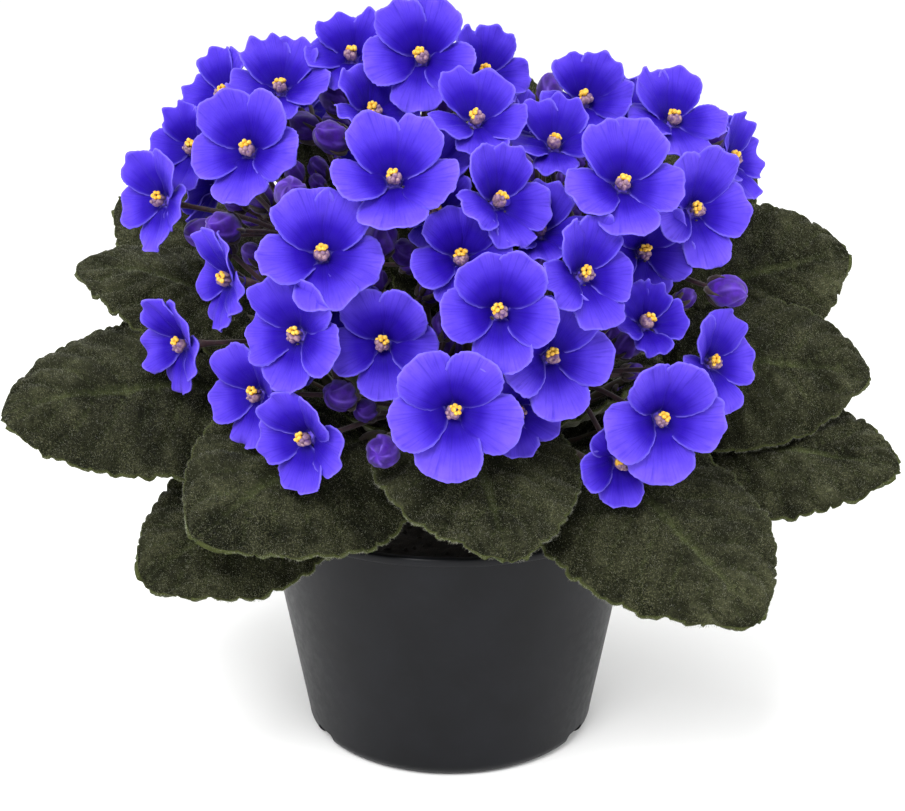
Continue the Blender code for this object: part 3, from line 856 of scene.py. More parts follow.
def petal_grid(bm, lobe, radius, youth, looks, rng, values, back):
    """One rounded, ruffled lobe as a grid pressed into a disc and bent; fills the values."""
    azimuth, reach, half, lean, layer = lobe
    segments = 20
    root = 1.5 * MM             # where the lobe starts, measured from the flower's middle
    throat_depth = 1.6 * MM
    edge_width = 0.35 * MM
    cup = radius * (looks.cup_ratio + 0.16 * youth)
    before = len(bm.verts)
    bmesh.ops.create_grid(bm, x_segments=segments, y_segments=segments, size=1.0)
    bm.verts.ensure_lookup_table()
    turn = Matrix.Rotation(math.radians(azimuth - 90 + rng.uniform(-8, 8)), 3, "Z")
    long = radius * reach * rng.uniform(0.95, 1.03) - root
    half = radius * half * rng.uniform(0.9, 1.08)
    lean = radius * ((lean + rng.uniform(-0.05, 0.08)) * (1 - 0.6 * youth) - back)
    bowl = rng.uniform(-0.6, 1.4) * MM
    ruffle = looks.ruffle * rng.uniform(0.6, 1.3)
    waves = rng.uniform(1.8, 2.8)
    phase = rng.uniform(0, TURN)
    curl = rng.uniform(-0.8, 2.0) * MM
    fold = rng.uniform(0.3, 0.9) * MM
    for vert in bm.verts[before:]:
        across = vert.co.x * math.sqrt(1 - vert.co.y**2 / 2)
        upward = vert.co.y * math.sqrt(1 - vert.co.x**2 / 2)
        rim = min(math.hypot(across, upward), 1.0)
        bearing = math.atan2(across, upward)
        teeth = 0.0
        for pitch, offset in ((6, 0), (13, 2), (2.5, 5)):
            teeth += 0.03 * noise.noise(Vector((bearing * pitch, phase, offset)))
        teeth -= 0.035 * math.exp(-(bearing / 0.2)**2)
        grown = 1 + teeth * rim**6
        share = (upward + 1) / 2
        out = root + long * (0.5 + 0.5 * upward * grown)
        width = half * (1.0 + 0.24 * upward) * grown
        height = cup * share**1.15 + lean * share**1.3
        height -= throat_depth * math.exp(-share * long / throat_depth)
        height += layer * MM * min(1.0, share * 2.2) - 0.8 * MM * across * share
        height += bowl * across**2 * share - curl * share**4
        height -= fold * math.exp(-(across / 0.16)**2) * math.sin(math.pi * share)
        height += ruffle * math.sin(waves * math.pi * across + phase) * rim**3 * share
        height += ruffle * 0.8 * noise.noise(Vector((across * 2.5, share * 3, phase * 3))) * rim
        spot = turn @ Vector((across * width, out, height))
        vert.co = spot
        values["reach"].append(min(spot.to_2d().length / looks.full_radius, 1.0))
        values["fan"].append(azimuth / 20 + math.atan2(across * width, out + 2 * MM))
        values["edge"].append(0.7 * math.exp(-((1 - rim) * half / edge_width)**2))


def corolla_mesh(width, looks, rng, tucks):
    """Five overlapping lobes that face +Z with the two smaller ones at +Y.

    A flower under the open width is younger, and more of a cup the narrower it is.
    """
    open_width, closing = 30 * MM, 6 * MM
    bm = bmesh.new()
    radius = width / 2
    youth = min(max((open_width - width) / closing, 0.0), 1.0)
    values = {"reach": [], "fan": [], "edge": []}
    for lobe, back in zip(PETALS, tucks):
        petal_grid(bm, lobe, radius, youth, looks, rng, values, back)
    for name, numbers in values.items():
        store(bm, name, numbers)
    bmesh.ops.recalc_face_normals(bm, faces=bm.faces)
    bmesh.ops.reverse_faces(bm, faces=[face for face in bm.faces if face.normal.z < 0])
    return bm


def tube_mesh(looks):
    """The short tube behind the petals, closed at both ends."""
    bm = bmesh.new()
    path = [UP * z * MM for z in (-looks.tube_length / MM, -3.6, -2.6, -1.6)]
    sweep(bm, path, [r * MM for r in (1.5, 1.6, 1.75, 2.0)], sides=16)
    return bm


def centre_mesh(rng):
    """Yellow anther lobes over a lilac petaloid knob, held up by two short filaments."""
    grown = 1.2
    bm = bmesh.new()
    turn = Matrix.Rotation(math.radians(rng.uniform(-60, 60)), 4, "Z")
    for material, group in enumerate((KNOBS, ANTHERS)):
        for centre, size in group:
            spot = Vector(centre) + Vector([rng.uniform(-0.15, 0.15) for _ in range(3)])
            scale = rng.uniform(0.88, 1.12)
            add_ball(bm, Matrix.Translation(turn @ spot * grown * MM) @ turn
                     @ Matrix.Diagonal((*[s * scale * grown * MM for s in size], 1)), material)
    for side in (-0.7, 0.7):
        root = turn @ Vector((side, 0.7, -0.6))
        top = turn @ Vector((side, 0.9, 1.6))
        sweep(bm, [root * MM, (root + top) / 2 * MM, top * MM], [0.55 * MM] * 3, sides=8)
    for vert in bm.verts:
        vert.co += vert.co.normalized() * 0.22 * MM * noise.noise(vert.co / (0.7 * MM))
    return bm


def flower_matrix(throat, forward):
    """Stands a flower at its throat with its smaller lobes as high as they go."""
    right = UP.cross(forward).normalized()
    turn = Matrix((right, forward.cross(right), forward)).transposed().to_4x4()
    return Matrix.Translation(throat) @ turn


def all_flowers():
    """Name, throat, facing, width and CAD node of every flower, also those grown on stalks."""
    found = [(name, *read_flower(name), name) for name in FLOWER_NODES]
    for stalk, (_, _, _, grown, _) in STALKS.items():
        for i, (place, facing, width) in enumerate(grown):
            name = f"{stalk}_flower_{i + 1}"
            found.append((name, Vector(place) * MM, direction(*facing), width * MM, None))
    return found


# ---------------------------------------------------------------- stalks and buds

def pedicel_path(fork, end, arrival, count=14):
    """The curve of a thin stalk that arrives at its flower from straight behind."""
    reach = (end - fork).length
    leave = ((end - fork).normalized() + UP * 0.6).normalized()
    return bezier(fork, fork + leave * reach * 0.35, end - arrival * reach * 0.35, end, count)


def add_sepals(bm, centre, along, length, opening, rng):
    """Five narrow pointed sepals round the end of a stalk, opened by an angle in degrees."""
    stalk_radius = 1.2 * MM
    half_width, half_thickness = 0.95 * MM, 0.42 * MM
    stand = ring_frame(centre, along, along.orthogonal())
    for i in range(5):
        turn = Matrix.Rotation(math.radians(72 * i + rng.uniform(-8, 8)), 4, "Z")
        tilt = Matrix.Rotation(math.radians(opening + rng.uniform(-6, 6)), 4, "X")
        reach = length * rng.uniform(0.85, 1.15)
        shape = (stand @ turn @ Matrix.Translation((0, -stalk_radius, 0)) @ tilt
                 @ Matrix.Diagonal((half_width, half_thickness, reach / 2, 1))
                 @ Matrix.Translation((0, 0, 1)))
        add_ball(bm, shape, CALYX, detail=(8, 7))


def add_bud(bm, centre, along, radius, rng):
    """A closed bud: five folded petals that overlap in turn, held by five thin sepals."""
    sepal_radii = [r * MM for r in (0.7, 0.95, 0.95, 0.85, 0.65, 0.45, 0.12)]
    stand = ring_frame(centre, along, along.orthogonal())
    egg = bmesh.new()
    seam = egg.verts.layers.float.new("seam")
    made = bmesh.ops.create_uvsphere(egg, u_segments=35, v_segments=12, radius=1.0)["verts"]
    spin = rng.uniform(0, TURN)
    for vert in made:
        turn = math.atan2(vert.co.y, vert.co.x) + spin + 0.9 * vert.co.z
        lap = (2.5 * turn / math.pi) % 1.0
        girth = 0.86 + 0.17 * lap**0.7 * min(1.0, 1.3 * (vert.co.z + 1))
        crease = 0.07 * noise.noise(vert.co * 2.5 + Vector((spin, 0, 0)))
        vert[seam] = 0.9 * lap**10
        vert.co.x *= girth + crease
        vert.co.y *= girth + crease
        vert.co.z *= 1.22 + 0.1 * lap
    bmesh.ops.scale(egg, vec=(radius, radius, radius), verts=made)
    bmesh.ops.transform(egg, matrix=stand, verts=made)
    paint(egg.faces, BUD)
    for i in range(5):
        bearing = math.radians(72 * i + rng.uniform(-8, 8))
        outward = stand.to_3x3() @ Vector((math.cos(bearing), math.sin(bearing), 0))
        path = []
        for j in range(len(sepal_radii)):
            angle = math.radians(15 + j * rng.uniform(11, 13))
            path.append(centre - along * math.cos(angle) * radius * 1.24
                        + outward * math.sin(angle) * radius * 1.02)
        sweep(egg, path, sepal_radii, sides=6, material=CALYX)
    append(bm, egg)


def clear_of_flowers(spot, flowers, room):
    """Whether a point keeps its distance from every flower and isn't in front of one."""
    behind, in_front = 5 * MM, 40 * MM
    for _, throat, forward, width, _ in flowers:
        offset = spot - throat
        depth = offset.dot(forward)
        aside = (offset - forward * depth).length
        if aside < width / 2 + room and -behind - room < depth < in_front:
            return False
    return True


def inner_buds(flowers, count):
    """Small buds in the free space under the flowers, each with its nearest stalk below."""
    middle, extent = (0, 2, 128), (78, 64, 72)      # mm, of the rounded box they grow in
    lowest = 108 * MM
    spacing = 9.5 * MM
    fork_drop = 8 * MM
    clearance = 3 * MM
    rng = random.Random(BUD_SEED)
    found = {name: [] for name in STALKS}
    taken = [Vector(spot) * MM for row in STALKS.values() for spot in row[4]]
    for _ in range(80 * count):
        spot = Vector([rng.uniform(-1, 1) for _ in range(3)])
        if sum(share**4 for share in spot) > 1:
            continue
        spot = Vector([mid + share * half for mid, share, half in zip(middle, spot, extent)])
        spot *= MM
        forks = [(Vector(row[1]) * MM, name) for name, row in STALKS.items()]
        forks = [((fork - spot).length, name, fork) for fork, name in forks
                 if fork.z < spot.z - fork_drop]
        room = min((spot - other).length for other in taken)
        if not forks or spot.z < lowest or room < spacing:
            continue
        _, name, fork = min(forks)
        path = pedicel_path(fork, spot, (spot - fork).normalized(), count=9)
        if clear_of_flowers(spot, flowers, clearance) and all(
                clear_of_flowers(point, flowers, -clearance) for point in path):
            taken.append(spot)
            found[name].append(spot)
        if sum(len(group) for group in found.values()) >= count:
            break
    return found


def stalk_mesh(name, flowers, small_buds, looks):
    """Peduncle, fork, pedicels, calyces and buds of one stalk."""
    azimuth, fork, carried, grown, buds = STALKS[name]
    steps = 25
    knot_radius = 2.1 * MM
    tube_length = bpy.context.scene.violet_flowers.tube_length
    rng = random.Random(name)
    fork = Vector(fork) * MM
    outward = direction(azimuth)
    crown_radius = (CROWN_HIGH.x - CROWN_LOW.x) / 2
    foot = outward * (crown_radius + 0.3 * MM) + UP * STALK_FOOT_HEIGHT
    reach = (fork - foot).length
    lift = (outward + UP).normalized()
    path = bezier(foot, foot + lift * reach * 0.4, fork - UP * reach * 0.3, fork, steps + 1)
    bm = bmesh.new()
    radii = [looks.peduncle_radius * (1 - 0.22 * i / steps) for i in range(steps + 1)]
    sweep(bm, path, radii, sides=12, material=STEM)
    knot = Matrix.Translation(fork) @ Matrix.Diagonal((*[knot_radius] * 3, 1))
    add_ball(bm, knot, STEM, detail=(14, 10))
    add_sepals(bm, fork - UP * 0.5 * MM, UP, length=4.5 * MM, opening=55, rng=rng)
    ends = [flowers[flower] for flower in carried]
    ends += [(Vector(place) * MM, direction(*facing)) for place, facing, _ in grown]
    for throat, forward in ends:
        end = throat - forward * (tube_length + 0.1 * MM)
        path = pedicel_path(fork, end, forward)
        radii = [looks.pedicel_radius] * (len(path) - 2)
        radii += [looks.pedicel_radius * 1.3, looks.pedicel_radius * 1.9]
        sweep(bm, path, radii, sides=9, material=STEM)
        add_sepals(bm, end + forward * 0.2 * MM, forward, length=4.4 * MM, opening=24, rng=rng)
    closed = [(Vector(spot) * MM, rng.uniform(0.9, 1.05)) for spot in buds]
    closed += [(spot, rng.uniform(0.55, 0.95)) for spot in small_buds]
    for centre, share in closed:
        along = (centre - fork).normalized()
        path = pedicel_path(fork, centre - along * 3 * share * MM, along)
        sweep(bm, path, [looks.pedicel_radius] * len(path), sides=8, material=STEM)
        add_bud(bm, centre, along, looks.bud_radius * share, rng)
    return bm


# ---------------------------------------------------------------- settings

def length_prop(name, description, value):
    """A length property with its default in metres."""
    return bpy.props.FloatProperty(name=name, description=description, default=value,
                                   min=0.0, precision=5, unit="LENGTH")


def colour_prop(name, description, text):
    """A colour property with its default as sRGB hex."""
    return bpy.props.FloatVectorProperty(name=name, description=description, subtype="COLOR",
                                         size=3, min=0.0, max=1.0, default=srgb(text))


class PotLooks(bpy.types.PropertyGroup):
    """Shape and colours of the nursery pot."""
    wall: length_prop("Wall", "Thickness of the moulded wall", 1.3 * MM)
    band: length_prop("Band", "Height of the slim band round the lip", 2.6 * MM)
    proud: length_prop("Proud", "How far the band stands out from the wall", 1.2 * MM)
    base: length_prop("Base", "Radius of the underside with its corner", 46 * MM)
    corner: length_prop("Corner", "Radius of the rounded lower edge", 4.5 * MM)
    notch: length_prop("Notch", "Height of the drainage notches", 4.2 * MM)
    plastic: colour_prop("Plastic", "Main colour of the plastic", "#0B0C0F")
    flow: colour_prop("Flow", "Slightly lighter flow marks", "#101115")
    dust: colour_prop("Dust", "Fine dust on the surface", "#1D1E22")


class SoilLooks(bpy.types.PropertyGroup):
    """Grain and colours of the compost."""
    relief: length_prop("Relief", "Height of the surface lumps", 2.2 * MM)
    crumb: length_prop("Crumb", "Largest loose crumb", 1.5 * MM)
    wet: colour_prop("Wet", "Damp compost", "#0B0806")
    dry: colour_prop("Dry", "Drier crumbs", "#1D150F")
    fibre: colour_prop("Fibre", "Pale moss fibres", "#3A2E22")


class LeafLooks(bpy.types.PropertyGroup):
    """Relief, hairs and colours of the leaves."""
    thickness: length_prop("Thickness", "Thickness of the fleshy blade", 1.2 * MM)
    camber: length_prop("Camber", "How far the margins bend down", 5.0 * MM)
    arch: length_prop("Arch", "How far the midrib rises", 5.0 * MM)
    lobe_sweep: length_prop("Lobe sweep", "Reach of the heart-shaped base", 7.0 * MM)
    quilt_height: length_prop("Quilting", "Height of the puckers between veins", 2.4 * MM)
    vein_depth: length_prop("Vein depth", "How far the veins are sunk", 0.3 * MM)
    wave: length_prop("Wave", "Height of the waves along the margin", 0.9 * MM)
    tooth_pitch: length_prop("Scallop pitch", "Length of one scallop of the margin", 4.3 * MM)
    tooth_depth: length_prop("Scallop depth", "Depth of one scallop of the margin", 1.4 * MM)
    hair_length: length_prop("Hair length", "Length of the hairs", 0.75 * MM)
    hair_radius: length_prop("Hair radius", "Radius of a hair, coarser than real", 0.028 * MM)
    hair_count: bpy.props.IntProperty(name="Hairs", description="Hairs on one blade",
                                      default=5800, min=0)
    fringe_count: bpy.props.IntProperty(name="Fringe", description="Hairs on one margin",
                                        default=1100, min=0)
    blade: colour_prop("Blade", "Main olive green", "#191B0F")
    # Painted light on the puckers.
    blade_painted_light: colour_prop("Blade top", "Puckers that stand up to the light", "#434530")
    # The darkest green: a random mottle, and painted shade in the hollows, towards the base and in
    # random patches.
    blade_mottle_and_painted_shade: colour_prop("Blade dark", "Deeper green in the hollows", "#070804")
    vein: colour_prop("Vein", "Veins", "#434A2B")
    velvet: colour_prop("Velvet", "Pale specks of short hairs", "#54553E")
    rim: colour_prop("Rim", "Lighter margin", "#3C4124")
    under: colour_prop("Underside", "Silvery green lower face", "#434B33")
    under_flush: colour_prop("Underside flush", "Wine flush of the lower face", "#4A3B34")
    under_vein: colour_prop("Underside vein", "Raised veins of the lower face", "#5A6446")
    hair: colour_prop("Hair", "Pale hairs", "#8C8D78")
    petiole: colour_prop("Petiole", "Leaf stalk green", "#434728")
    flush: colour_prop("Petiole flush", "Leaf stalk wine tint", "#472A28")
    petiole_radius: length_prop("Petiole radius", "Radius of a leaf stalk", 1.9 * MM)


class FlowerLooks(bpy.types.PropertyGroup):
    """Shape and colours of the flowers."""
    thickness: length_prop("Thickness", "Thickness of a petal", 0.35 * MM)
    ruffle: length_prop("Ruffle", "Height of the waves at the margin", 1.1 * MM)
    tube_length: length_prop("Tube", "Length of the tube behind the petals", 5.0 * MM)
    full_radius: length_prop("Full radius", "Radius of the largest flower", 18.5 * MM)
    cup_ratio: bpy.props.FloatProperty(name="Cup", description="Rise of the edge over the throat",
                                       default=0.15, min=0.0, max=1.0, subtype="FACTOR")
    petal: colour_prop("Petal", "Middle of the petals", "#2A0FA0")
    petal_tip: colour_prop("Petal tip", "Lighter outer petals", "#674FD6")
    petal_vein: colour_prop("Petal vein", "Fine fanned veins", "#180678")
    petal_edge: colour_prop("Petal edge", "Lighter hairy margin", "#7264DC")
    throat: colour_prop("Throat", "Deep violet throat", "#12026C")
    tube: colour_prop("Tube", "Pale back of the tube", "#2A1478")
    anther: colour_prop("Anther", "Bright yellow anthers", "#D0920C")
    # Painted highlights: pale cream lumps on the anthers.
    anther_painted_highlight: colour_prop("Anther light", "Pollen highlights", "#E6C052")
    knob: colour_prop("Knob", "Lilac petaloid knob", "#5E4070")
    # Painted highlights: tan and cream lumps on the knob.
    knob_painted_highlight: colour_prop("Knob light", "Tan and cream highlights of the knob", "#A08084")


class StalkLooks(bpy.types.PropertyGroup):
    """Shape and colours of the flower stalks and buds."""
    peduncle_radius: length_prop("Peduncle radius", "Radius of the main stalk", 1.8 * MM)
    pedicel_radius: length_prop("Pedicel radius", "Radius of a flower's own stalk", 0.75 * MM)
    bud_radius: length_prop("Bud radius", "Radius of a closed bud", 4.7 * MM)
    small_buds: bpy.props.IntProperty(name="Small buds", description="Buds under the flowers",
                                      default=130, min=0)
    hair_length: length_prop("Hair length", "Length of the hairs", 1.2 * MM)
    hair_radius: length_prop("Hair radius", "Radius of a hair, coarser than real", 0.035 * MM)
    hair_count: bpy.props.IntProperty(name="Hairs", description="Hairs on one stalk",
                                      default=3500, min=0)
    skin: colour_prop("Skin", "Red-brown stalk", "#1E0A11")
    skin_light: colour_prop("Skin light", "Lighter stalk", "#381A20")
    calyx: colour_prop("Calyx", "Dark maroon sepals", "#1E0A12")
    calyx_light: colour_prop("Calyx light", "Greener parts of the sepals", "#2C1E1A")
    bud: colour_prop("Bud", "Purple bud petals", "#2C0A66")
    bud_light: colour_prop("Bud light", "Lighter bud petals", "#46189A")
    bud_edge: colour_prop("Bud edge", "Pale edges of folded petals", "#6A4AC0")
    hair: colour_prop("Hair", "Stalk hairs", "#5C4248")


class StageLooks(bpy.types.PropertyGroup):
    """Floor and lamps."""
    floor: colour_prop("Floor", "Plain pale floor", "#F6F6F6")
    key_power: bpy.props.FloatProperty(name="Key", description="Power of the key softbox",
                                       default=13.0, min=0.0, unit="POWER")
    fill_power: bpy.props.FloatProperty(name="Fill", description="Power of each fill softbox",
                                        default=2.5, min=0.0, unit="POWER")
    sky: bpy.props.FloatProperty(name="Sky", description="Strength of the even white light",
                                 default=1.12, min=0.0)


# ---------------------------------------------------------------- operators

class VIOLET_OT_pot(bpy.types.Operator):
    """Spin the nursery pot and bite its drainage notches"""
    bl_idname = "violet.pot"
    bl_label = "Nursery Pot"
    steps = 128
    notch_azimuths = (-60, 60, 180)
    notch_width, notch_reach = 10 * MM, 14 * MM
    sharp_angle = 35

    def profile(self, looks):
        """Outline from the middle of the underside, round the lip, to the inner floor."""
        floor_height = 1.6 * MM
        bead = 0.5 * MM             # radius of the band's rounded edge
        corner_steps, bead_steps, inner_steps = 8, 6, 4
        top = POT_HIGH.z
        lip = POT_HIGH.x
        base = looks.base
        band = top - looks.band
        wall_top = lip - looks.proud
        corner = looks.corner
        points = [(0, 0), (base - corner - 2 * MM, 0)]
        for i in range(corner_steps + 1):
            a = math.radians(-90 + 90 * i / corner_steps)
            points.append((base - corner + corner * math.cos(a), corner + corner * math.sin(a)))
        for share in (0.25, 0.5, 0.75, 0.97, 1.0):
            points.append((base + (wall_top - base) * share, corner + (band - corner) * share))
        middle = (band + bead + top - 0.6 * MM) / 2
        tall = (top - band - 0.1 * MM) / 2
        for i in range(bead_steps + 1):
            a = math.radians(-90 + 180 * i / bead_steps)
            points.append((lip - bead + bead * math.cos(a), middle + tall * math.sin(a)))
        points.append((wall_top - looks.wall + 0.5 * MM, top - 0.05 * MM))
        points.append((wall_top - looks.wall + 0.15 * MM, top - 0.4 * MM))
        points.append((wall_top - looks.wall, band))
        inner = corner - looks.wall
        for i in range(inner_steps + 1):
            a = math.radians(-90 * i / inner_steps)
            points.append((base - corner + inner * math.cos(a), corner + inner * math.sin(a)))
        points.append((0, floor_height))
        return points

    def execute(self, context):
        looks = context.scene.violet_pot
        pot = add_piece("nursery_pot", revolve(self.profile(looks), self.steps),
                        [moulded_polypropylene(looks)], ["pot"])
        for azimuth in self.notch_azimuths:
            self.bite(pot, azimuth, looks.base, looks.notch)
        pot.data.set_sharp_from_angle(angle=math.radians(self.sharp_angle))
        return {"FINISHED"}

    def bite(self, pot, azimuth, base, height):
        """Cut one drainage notch with rounded corners through the lower edge."""
        bm = bmesh.new()
        place = (Matrix.Translation(direction(azimuth) * base)
                 @ Matrix.Rotation(math.radians(azimuth), 4, "Z")
                 @ Matrix.Diagonal((self.notch_width, self.notch_reach, 2 * height, 1)))
        bmesh.ops.create_cube(bm, size=1.0, matrix=place)
        upper_corners = [edge for edge in bm.edges
                         if min(end.co.z for end in edge.verts) > 0
                         and abs((edge.verts[0].co - edge.verts[1].co).normalized()
                                 .dot(direction(azimuth))) > 0.9]
        bmesh.ops.bevel(bm, geom=upper_corners, offset=1.5 * MM, segments=4, profile=0.5,
                        affect="EDGES", material=-1)
        cutter = add_object("notch", bm)
        cut = pot.modifiers.new("notch", "BOOLEAN")
        cut.operation = "DIFFERENCE"
        cut.object = cutter
        apply_modifiers(pot)
        bpy.data.objects.remove(cutter)


class VIOLET_OT_soil(bpy.types.Operator):
    """Fill the pot with lumpy peat compost and loose crumbs"""
    bl_idname = "violet.soil"
    bl_label = "Compost"
    mound = 2.5 * MM            # height of the middle over the edge
    steps, rings = 110, 30
    tries, most_crumbs = 2600, 420

    def execute(self, context):
        looks = context.scene.violet_soil
        material = peat_compost(looks)
        wide = SOIL_HIGH.x
        level = SOIL_HIGH.z - self.mound
        outline = [(0, SOIL_LOW.z), (38 * MM, SOIL_LOW.z), (44 * MM, 6 * MM)]
        outline += [(wide - 0.2 * MM, level - 1 * MM)]
        outline += [(wide * (1 - i / self.rings), level) for i in range(1, self.rings)]
        outline += [(0, level)]
        bm = revolve(outline, self.steps)
        for vert in bm.verts:
            if vert.co.z > level - 0.5 * MM:
                lumps = noise.fractal(vert.co / (6 * MM), 0.8, 2.0, 4)
                rise = self.mound * (1 - vert.co.xy.length / wide)
                vert.co.z += rise + looks.relief * lumps * 0.5
        soil = add_piece("compost", bm, [material], ["soil"])
        self.crumbs(soil, looks, material, level)
        return {"FINISHED"}

    def crumbs(self, soil, looks, material, level):
        """Loose angular crumbs scattered over the surface."""
        rng = np.random.default_rng(CRUMB_SEED)
        points, normals = surface_samples(soil, self.tries, rng)
        points = points[(normals[:, 2] > 0.6) & (points[:, 2] > level - 2 * MM)]
        bm = bmesh.new()
        for x, y, z in points[:self.most_crumbs]:
            size = looks.crumb * rng.uniform(0.3, 1.0)
            turn = Matrix.Rotation(rng.uniform(0, TURN), 4, rng.normal(size=3).tolist())
            shape = Matrix.Diagonal((size, size * rng.uniform(0.5, 0.9), size * 0.6, 1))
            bmesh.ops.create_icosphere(bm, subdivisions=1, radius=1.0,
                                       matrix=Matrix.Translation((x, y, z)) @ turn @ shape)
        for vert in bm.verts:
            vert.co += UP * noise.noise(vert.co / (0.8 * MM)) * 0.3 * MM
        add_piece("compost_crumbs", bm, [material])


class VIOLET_OT_crown(bpy.types.Operator):
    """Model the short scarred stem that everything grows from"""
    bl_idname = "violet.crown"
    bl_label = "Crown"

    def execute(self, context):
        looks = context.scene.violet_leaves
        skin = grained_skin("crown_skin", looks.flush, looks.petiole, 2.5 * MM, 0.6 * MM, {
            "Roughness": 0.75, "IOR": 1.4, "Sheen Weight": 0.1})
        radius = CROWN_HIGH.x
        low, high = CROWN_LOW.z, CROWN_HIGH.z
        count = 26
        bm = bmesh.new()
        path = [UP * (low + (high - low) * i / (count - 1)) for i in range(count)]
        radii = [radius * min(1.0, 3.2 * (1 - i / (count - 0.6)))**0.5 for i in range(count)]
        sweep(bm, path, radii, sides=40)
        for vert in bm.verts:
            scars = noise.noise(vert.co / (3.5 * MM)) - 0.4
            side = Vector((vert.co.x, vert.co.y, 0))
            vert.co += side.normalized() * 0.8 * MM * scars if side.length > 1e-5 else Vector()
        add_piece("crown_stem", bm, [skin], ["crown"])
        return {"FINISHED"}


class VIOLET_OT_leaves(bpy.types.Operator):
    """Model every leaf as a quilted scalloped blade, its petiole and its hairs"""
    bl_idname = "violet.leaves"
    bl_label = "Leaves"

    def execute(self, context):
        looks = context.scene.violet_leaves
        upper = leaf_upper_skin(looks)
        under = leaf_under_skin(looks)
        petiole = petiole_skin(looks)
        hair = plain_hair("leaf_hair", looks.hair)
        places = [(name, read_leaf(name), [name]) for name in LEAF_NODES]
        places += [(f"young_leaf_{i + 1}", young_leaf(*row), ())
                   for i, row in enumerate(YOUNG_LEAVES)]
        for seed, (name, place, solids) in enumerate(places):
            blade = Blade(place, looks, seed)
            sheet = add_piece(f"{name}_blade", blade_mesh(blade), [upper, under], solids)
            thicken(sheet, looks.thickness * blade.scale, 1)
            radius = looks.petiole_radius * blade.scale
            add_piece(f"{name}_petiole", petiole_mesh(blade, radius), [petiole])
            bpy.context.view_layer.update()
            share = blade.scale**2
            coat_with_hairs(f"{name}_hairs", sheet, int(looks.hair_count * share),
                            looks.hair_length, looks.hair_radius, hair, seed, 0)
            rim_hairs(f"{name}_fringe", blade, int(looks.fringe_count * share), hair,
                      seed + FRINGE_SEED)
        return {"FINISHED"}


class VIOLET_OT_flowers(bpy.types.Operator):
    """Model every flower's petals, tube, anthers and petaloid centre"""
    bl_idname = "violet.flowers"
    bl_label = "Flowers"

    def execute(self, context):
        looks = context.scene.violet_flowers
        petal = petal_skin(looks)
        tube = grained_skin("corolla_tube_skin", looks.tube, looks.petal_tip, 1.5 * MM,
                            0.1 * MM, {"Roughness": 0.6, "IOR": 1.38})
        # The knob's and the anthers' second tones are painted highlights, in random lumps.
        knob = grained_skin("petaloid_knob_skin", looks.knob, looks.knob_painted_highlight, 1.3 * MM,
                            0.15 * MM, {"Roughness": 0.45, "IOR": 1.4})
        anther = grained_skin("anther_skin", looks.anther, looks.anther_painted_highlight, 1.0 * MM,
                              0.1 * MM, {"Roughness": 0.5, "IOR": 1.4})
        for seed, (name, throat, forward, width, solid) in enumerate(all_flowers()):
            rng = random.Random(seed)
            place = flower_matrix(throat, forward)
            corolla = corolla_mesh(width, looks, rng, TUCKED.get(name, FREE))
            bmesh.ops.transform(corolla, matrix=place, verts=corolla.verts)
            petals = add_piece(f"{name}_petals", corolla, [petal],
                               [solid] if solid else ())
            thicken(petals, looks.thickness)
            for part, bm, skins in (("tube", tube_mesh(looks), [tube]),
                                    ("centre", centre_mesh(rng), [knob, anther])):
                bmesh.ops.transform(bm, matrix=place, verts=bm.verts)
                add_piece(f"{name}_{part}", bm, skins)
        return {"FINISHED"}


class VIOLET_OT_stalks(bpy.types.Operator):
    """Model every flower stalk with its pedicels, sepals, buds and hairs"""
    bl_idname = "violet.stalks"
    bl_label = "Flower Stalks"

    def execute(self, context):
        looks = context.scene.violet_stalks
        skin = grained_skin("pedicel_skin", looks.skin, looks.skin_light, 1.5 * MM, 0.15 * MM, {
            "Roughness": 0.55, "IOR": 1.4, "Sheen Weight": 0.2})
        calyx = grained_skin("calyx_skin", looks.calyx, looks.calyx_light, 1.2 * MM, 0.2 * MM, {
            "Roughness": 0.6, "IOR": 1.4, "Sheen Weight": 0.2})
        bud = bud_skin(looks)
        hair = plain_hair("stalk_hair", looks.hair)
        flowers = {name: read_flower(name)[:2] for name in FLOWER_NODES}
        small_buds = inner_buds(all_flowers(), looks.small_buds)
        for seed, name in enumerate(STALKS):
            bm = stalk_mesh(name, flowers, small_buds[name], looks)
            piece = add_piece(f"{name}_stems", bm, [skin, calyx, bud], [name])
            bpy.context.view_layer.update()
            coat_with_hairs(f"{name}_hairs", piece, looks.hair_count, looks.hair_length,
                            looks.hair_radius, hair, seed + STALK_HAIR_SEED, CALYX)
        return {"FINISHED"}


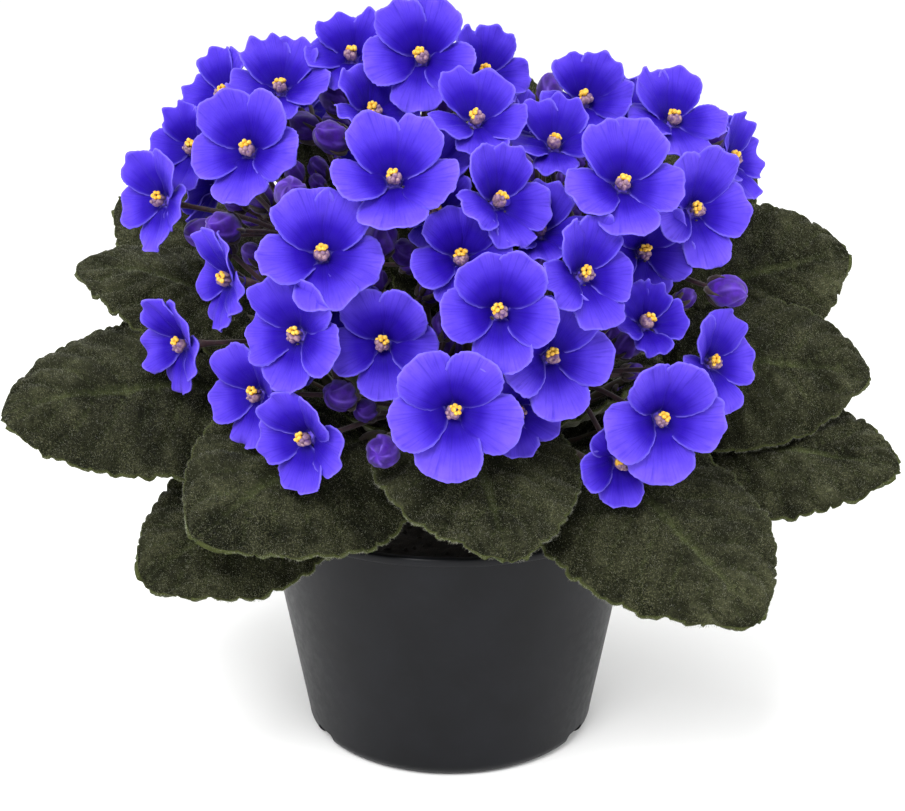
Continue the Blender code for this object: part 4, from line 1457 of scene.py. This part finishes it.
class VIOLET_OT_stage(bpy.types.Operator):
    """Set the pale floor, the soft lamps and the camera"""
    bl_idname = "violet.stage"
    bl_label = "Stage"
    lamp_target = (0, 0, 0.12)
    # Each softbox: name, place and size in metres, the setting that gives its power, and its
    # share of that power.
    lamps = (
        ("key", (-0.3, -0.8, 0.95), 0.5, "key_power", 1.0),
        ("fill_left", (-0.95, -0.1, 0.35), 0.7, "fill_power", 1.0),
        ("fill_right", (0.95, -0.25, 0.4), 0.7, "fill_power", 1.5),
        ("top", (0.1, 0.15, 1.1), 0.8, "fill_power", 1.0),
        ("back", (0.1, 1.0, 0.6), 0.8, "fill_power", 0.6),
    )
    floor_radius = 9.0
    camera_place = (0, -0.5, 0.265)
    camera_dip = 17.8                               # degrees below the horizontal
    focal_length, sensor_width = 67.1, 36.0         # millimetres
    side_shift = 0.0028

    def add_floor(self, colour):
        """A wide round floor of matt paper."""
        made, tree, shader = start_material("matt_paper_sweep", {"Roughness": 0.9})
        fibre = object_noise(tree, 40 * MM, 3.0)
        shade = tuple(c * 0.985 for c in colour)
        tree.links.new(blend(tree, fibre, rgba(shade), rgba(colour)), shader.inputs["Base Color"])
        bm = bmesh.new()
        bmesh.ops.create_circle(bm, cap_ends=True, radius=self.floor_radius, segments=64)
        floor = add_object("floor", bm, [made])

    def add_sky(self, context, strength):
        """Even white light from all round."""
        world = bpy.data.worlds.new("even_white")
        world.use_nodes = True
        sky = world.node_tree.nodes["Background"]
        sky.inputs["Color"].default_value = (1, 1, 1, 1)
        sky.inputs["Strength"].default_value = strength
        context.scene.world = world

    def add_lamp(self, name, place, size, power):
        """A square softbox that looks at the plant."""
        data = bpy.data.lights.new(name, "AREA")
        data.energy = power
        data.size = size
        lamp = bpy.data.objects.new(name, data)
        lamp.location = place
        aim = Vector(self.lamp_target) - Vector(place)
        lamp.rotation_euler = aim.to_track_quat("-Z", "Y").to_euler()
        bpy.context.scene.collection.objects.link(lamp)

    def add_camera(self, context):
        """The camera, a little above the plant and looking down at it."""
        data = bpy.data.cameras.new("camera")
        data.sensor_width = self.sensor_width
        data.lens = self.focal_length
        data.shift_x = self.side_shift
        data.clip_start = 0.01
        camera = bpy.data.objects.new("camera", data)
        camera.location = self.camera_place
        camera.rotation_euler = (math.radians(90 - self.camera_dip), 0, 0)
        context.scene.collection.objects.link(camera)
        context.scene.camera = camera

    def execute(self, context):
        looks = context.scene.violet_stage
        self.add_floor(looks.floor)
        self.add_sky(context, looks.sky)
        for name, place, size, power, share in self.lamps:
            self.add_lamp(name, place, size, getattr(looks, power) * share)
        self.add_camera(context)
        context.scene.view_settings.view_transform = "Standard"
        return {"FINISHED"}


class VIOLET_PT_panel(bpy.types.Panel):
    """Lists the pieces' operators and settings"""
    bl_label = "African Violet"
    bl_idname = "VIOLET_PT_panel"
    bl_space_type = "VIEW_3D"
    bl_region_type = "UI"
    bl_category = "Violet"

    def draw(self, context):
        for maker, group in MAKERS:
            self.layout.operator(maker.bl_idname)
            looks = getattr(context.scene, group)
            for key in type(looks).__annotations__:
                self.layout.prop(looks, key)


GROUPS = {
    "violet_pot": PotLooks,
    "violet_soil": SoilLooks,
    "violet_leaves": LeafLooks,
    "violet_flowers": FlowerLooks,
    "violet_stalks": StalkLooks,
    "violet_stage": StageLooks,
}
MAKERS = (
    (VIOLET_OT_pot, "violet_pot"),
    (VIOLET_OT_soil, "violet_soil"),
    (VIOLET_OT_crown, "violet_leaves"),
    (VIOLET_OT_leaves, "violet_leaves"),
    (VIOLET_OT_flowers, "violet_flowers"),
    (VIOLET_OT_stalks, "violet_stalks"),
    (VIOLET_OT_stage, "violet_stage"),
)


def register():
    for name, group in GROUPS.items():
        bpy.utils.register_class(group)
        setattr(bpy.types.Scene, name, bpy.props.PointerProperty(type=group))
    for maker, _ in MAKERS:
        bpy.utils.register_class(maker)
    bpy.utils.register_class(VIOLET_PT_panel)


def unregister():
    bpy.utils.unregister_class(VIOLET_PT_panel)
    for maker, _ in reversed(MAKERS):
        bpy.utils.unregister_class(maker)
    for name, group in reversed(GROUPS.items()):
        delattr(bpy.types.Scene, name)
        bpy.utils.unregister_class(group)


def main():
    register()
    for maker, _ in MAKERS:
        group, action = maker.bl_idname.split(".")
        getattr(getattr(bpy.ops, group), action)()


if __name__ == "__main__":
    main()
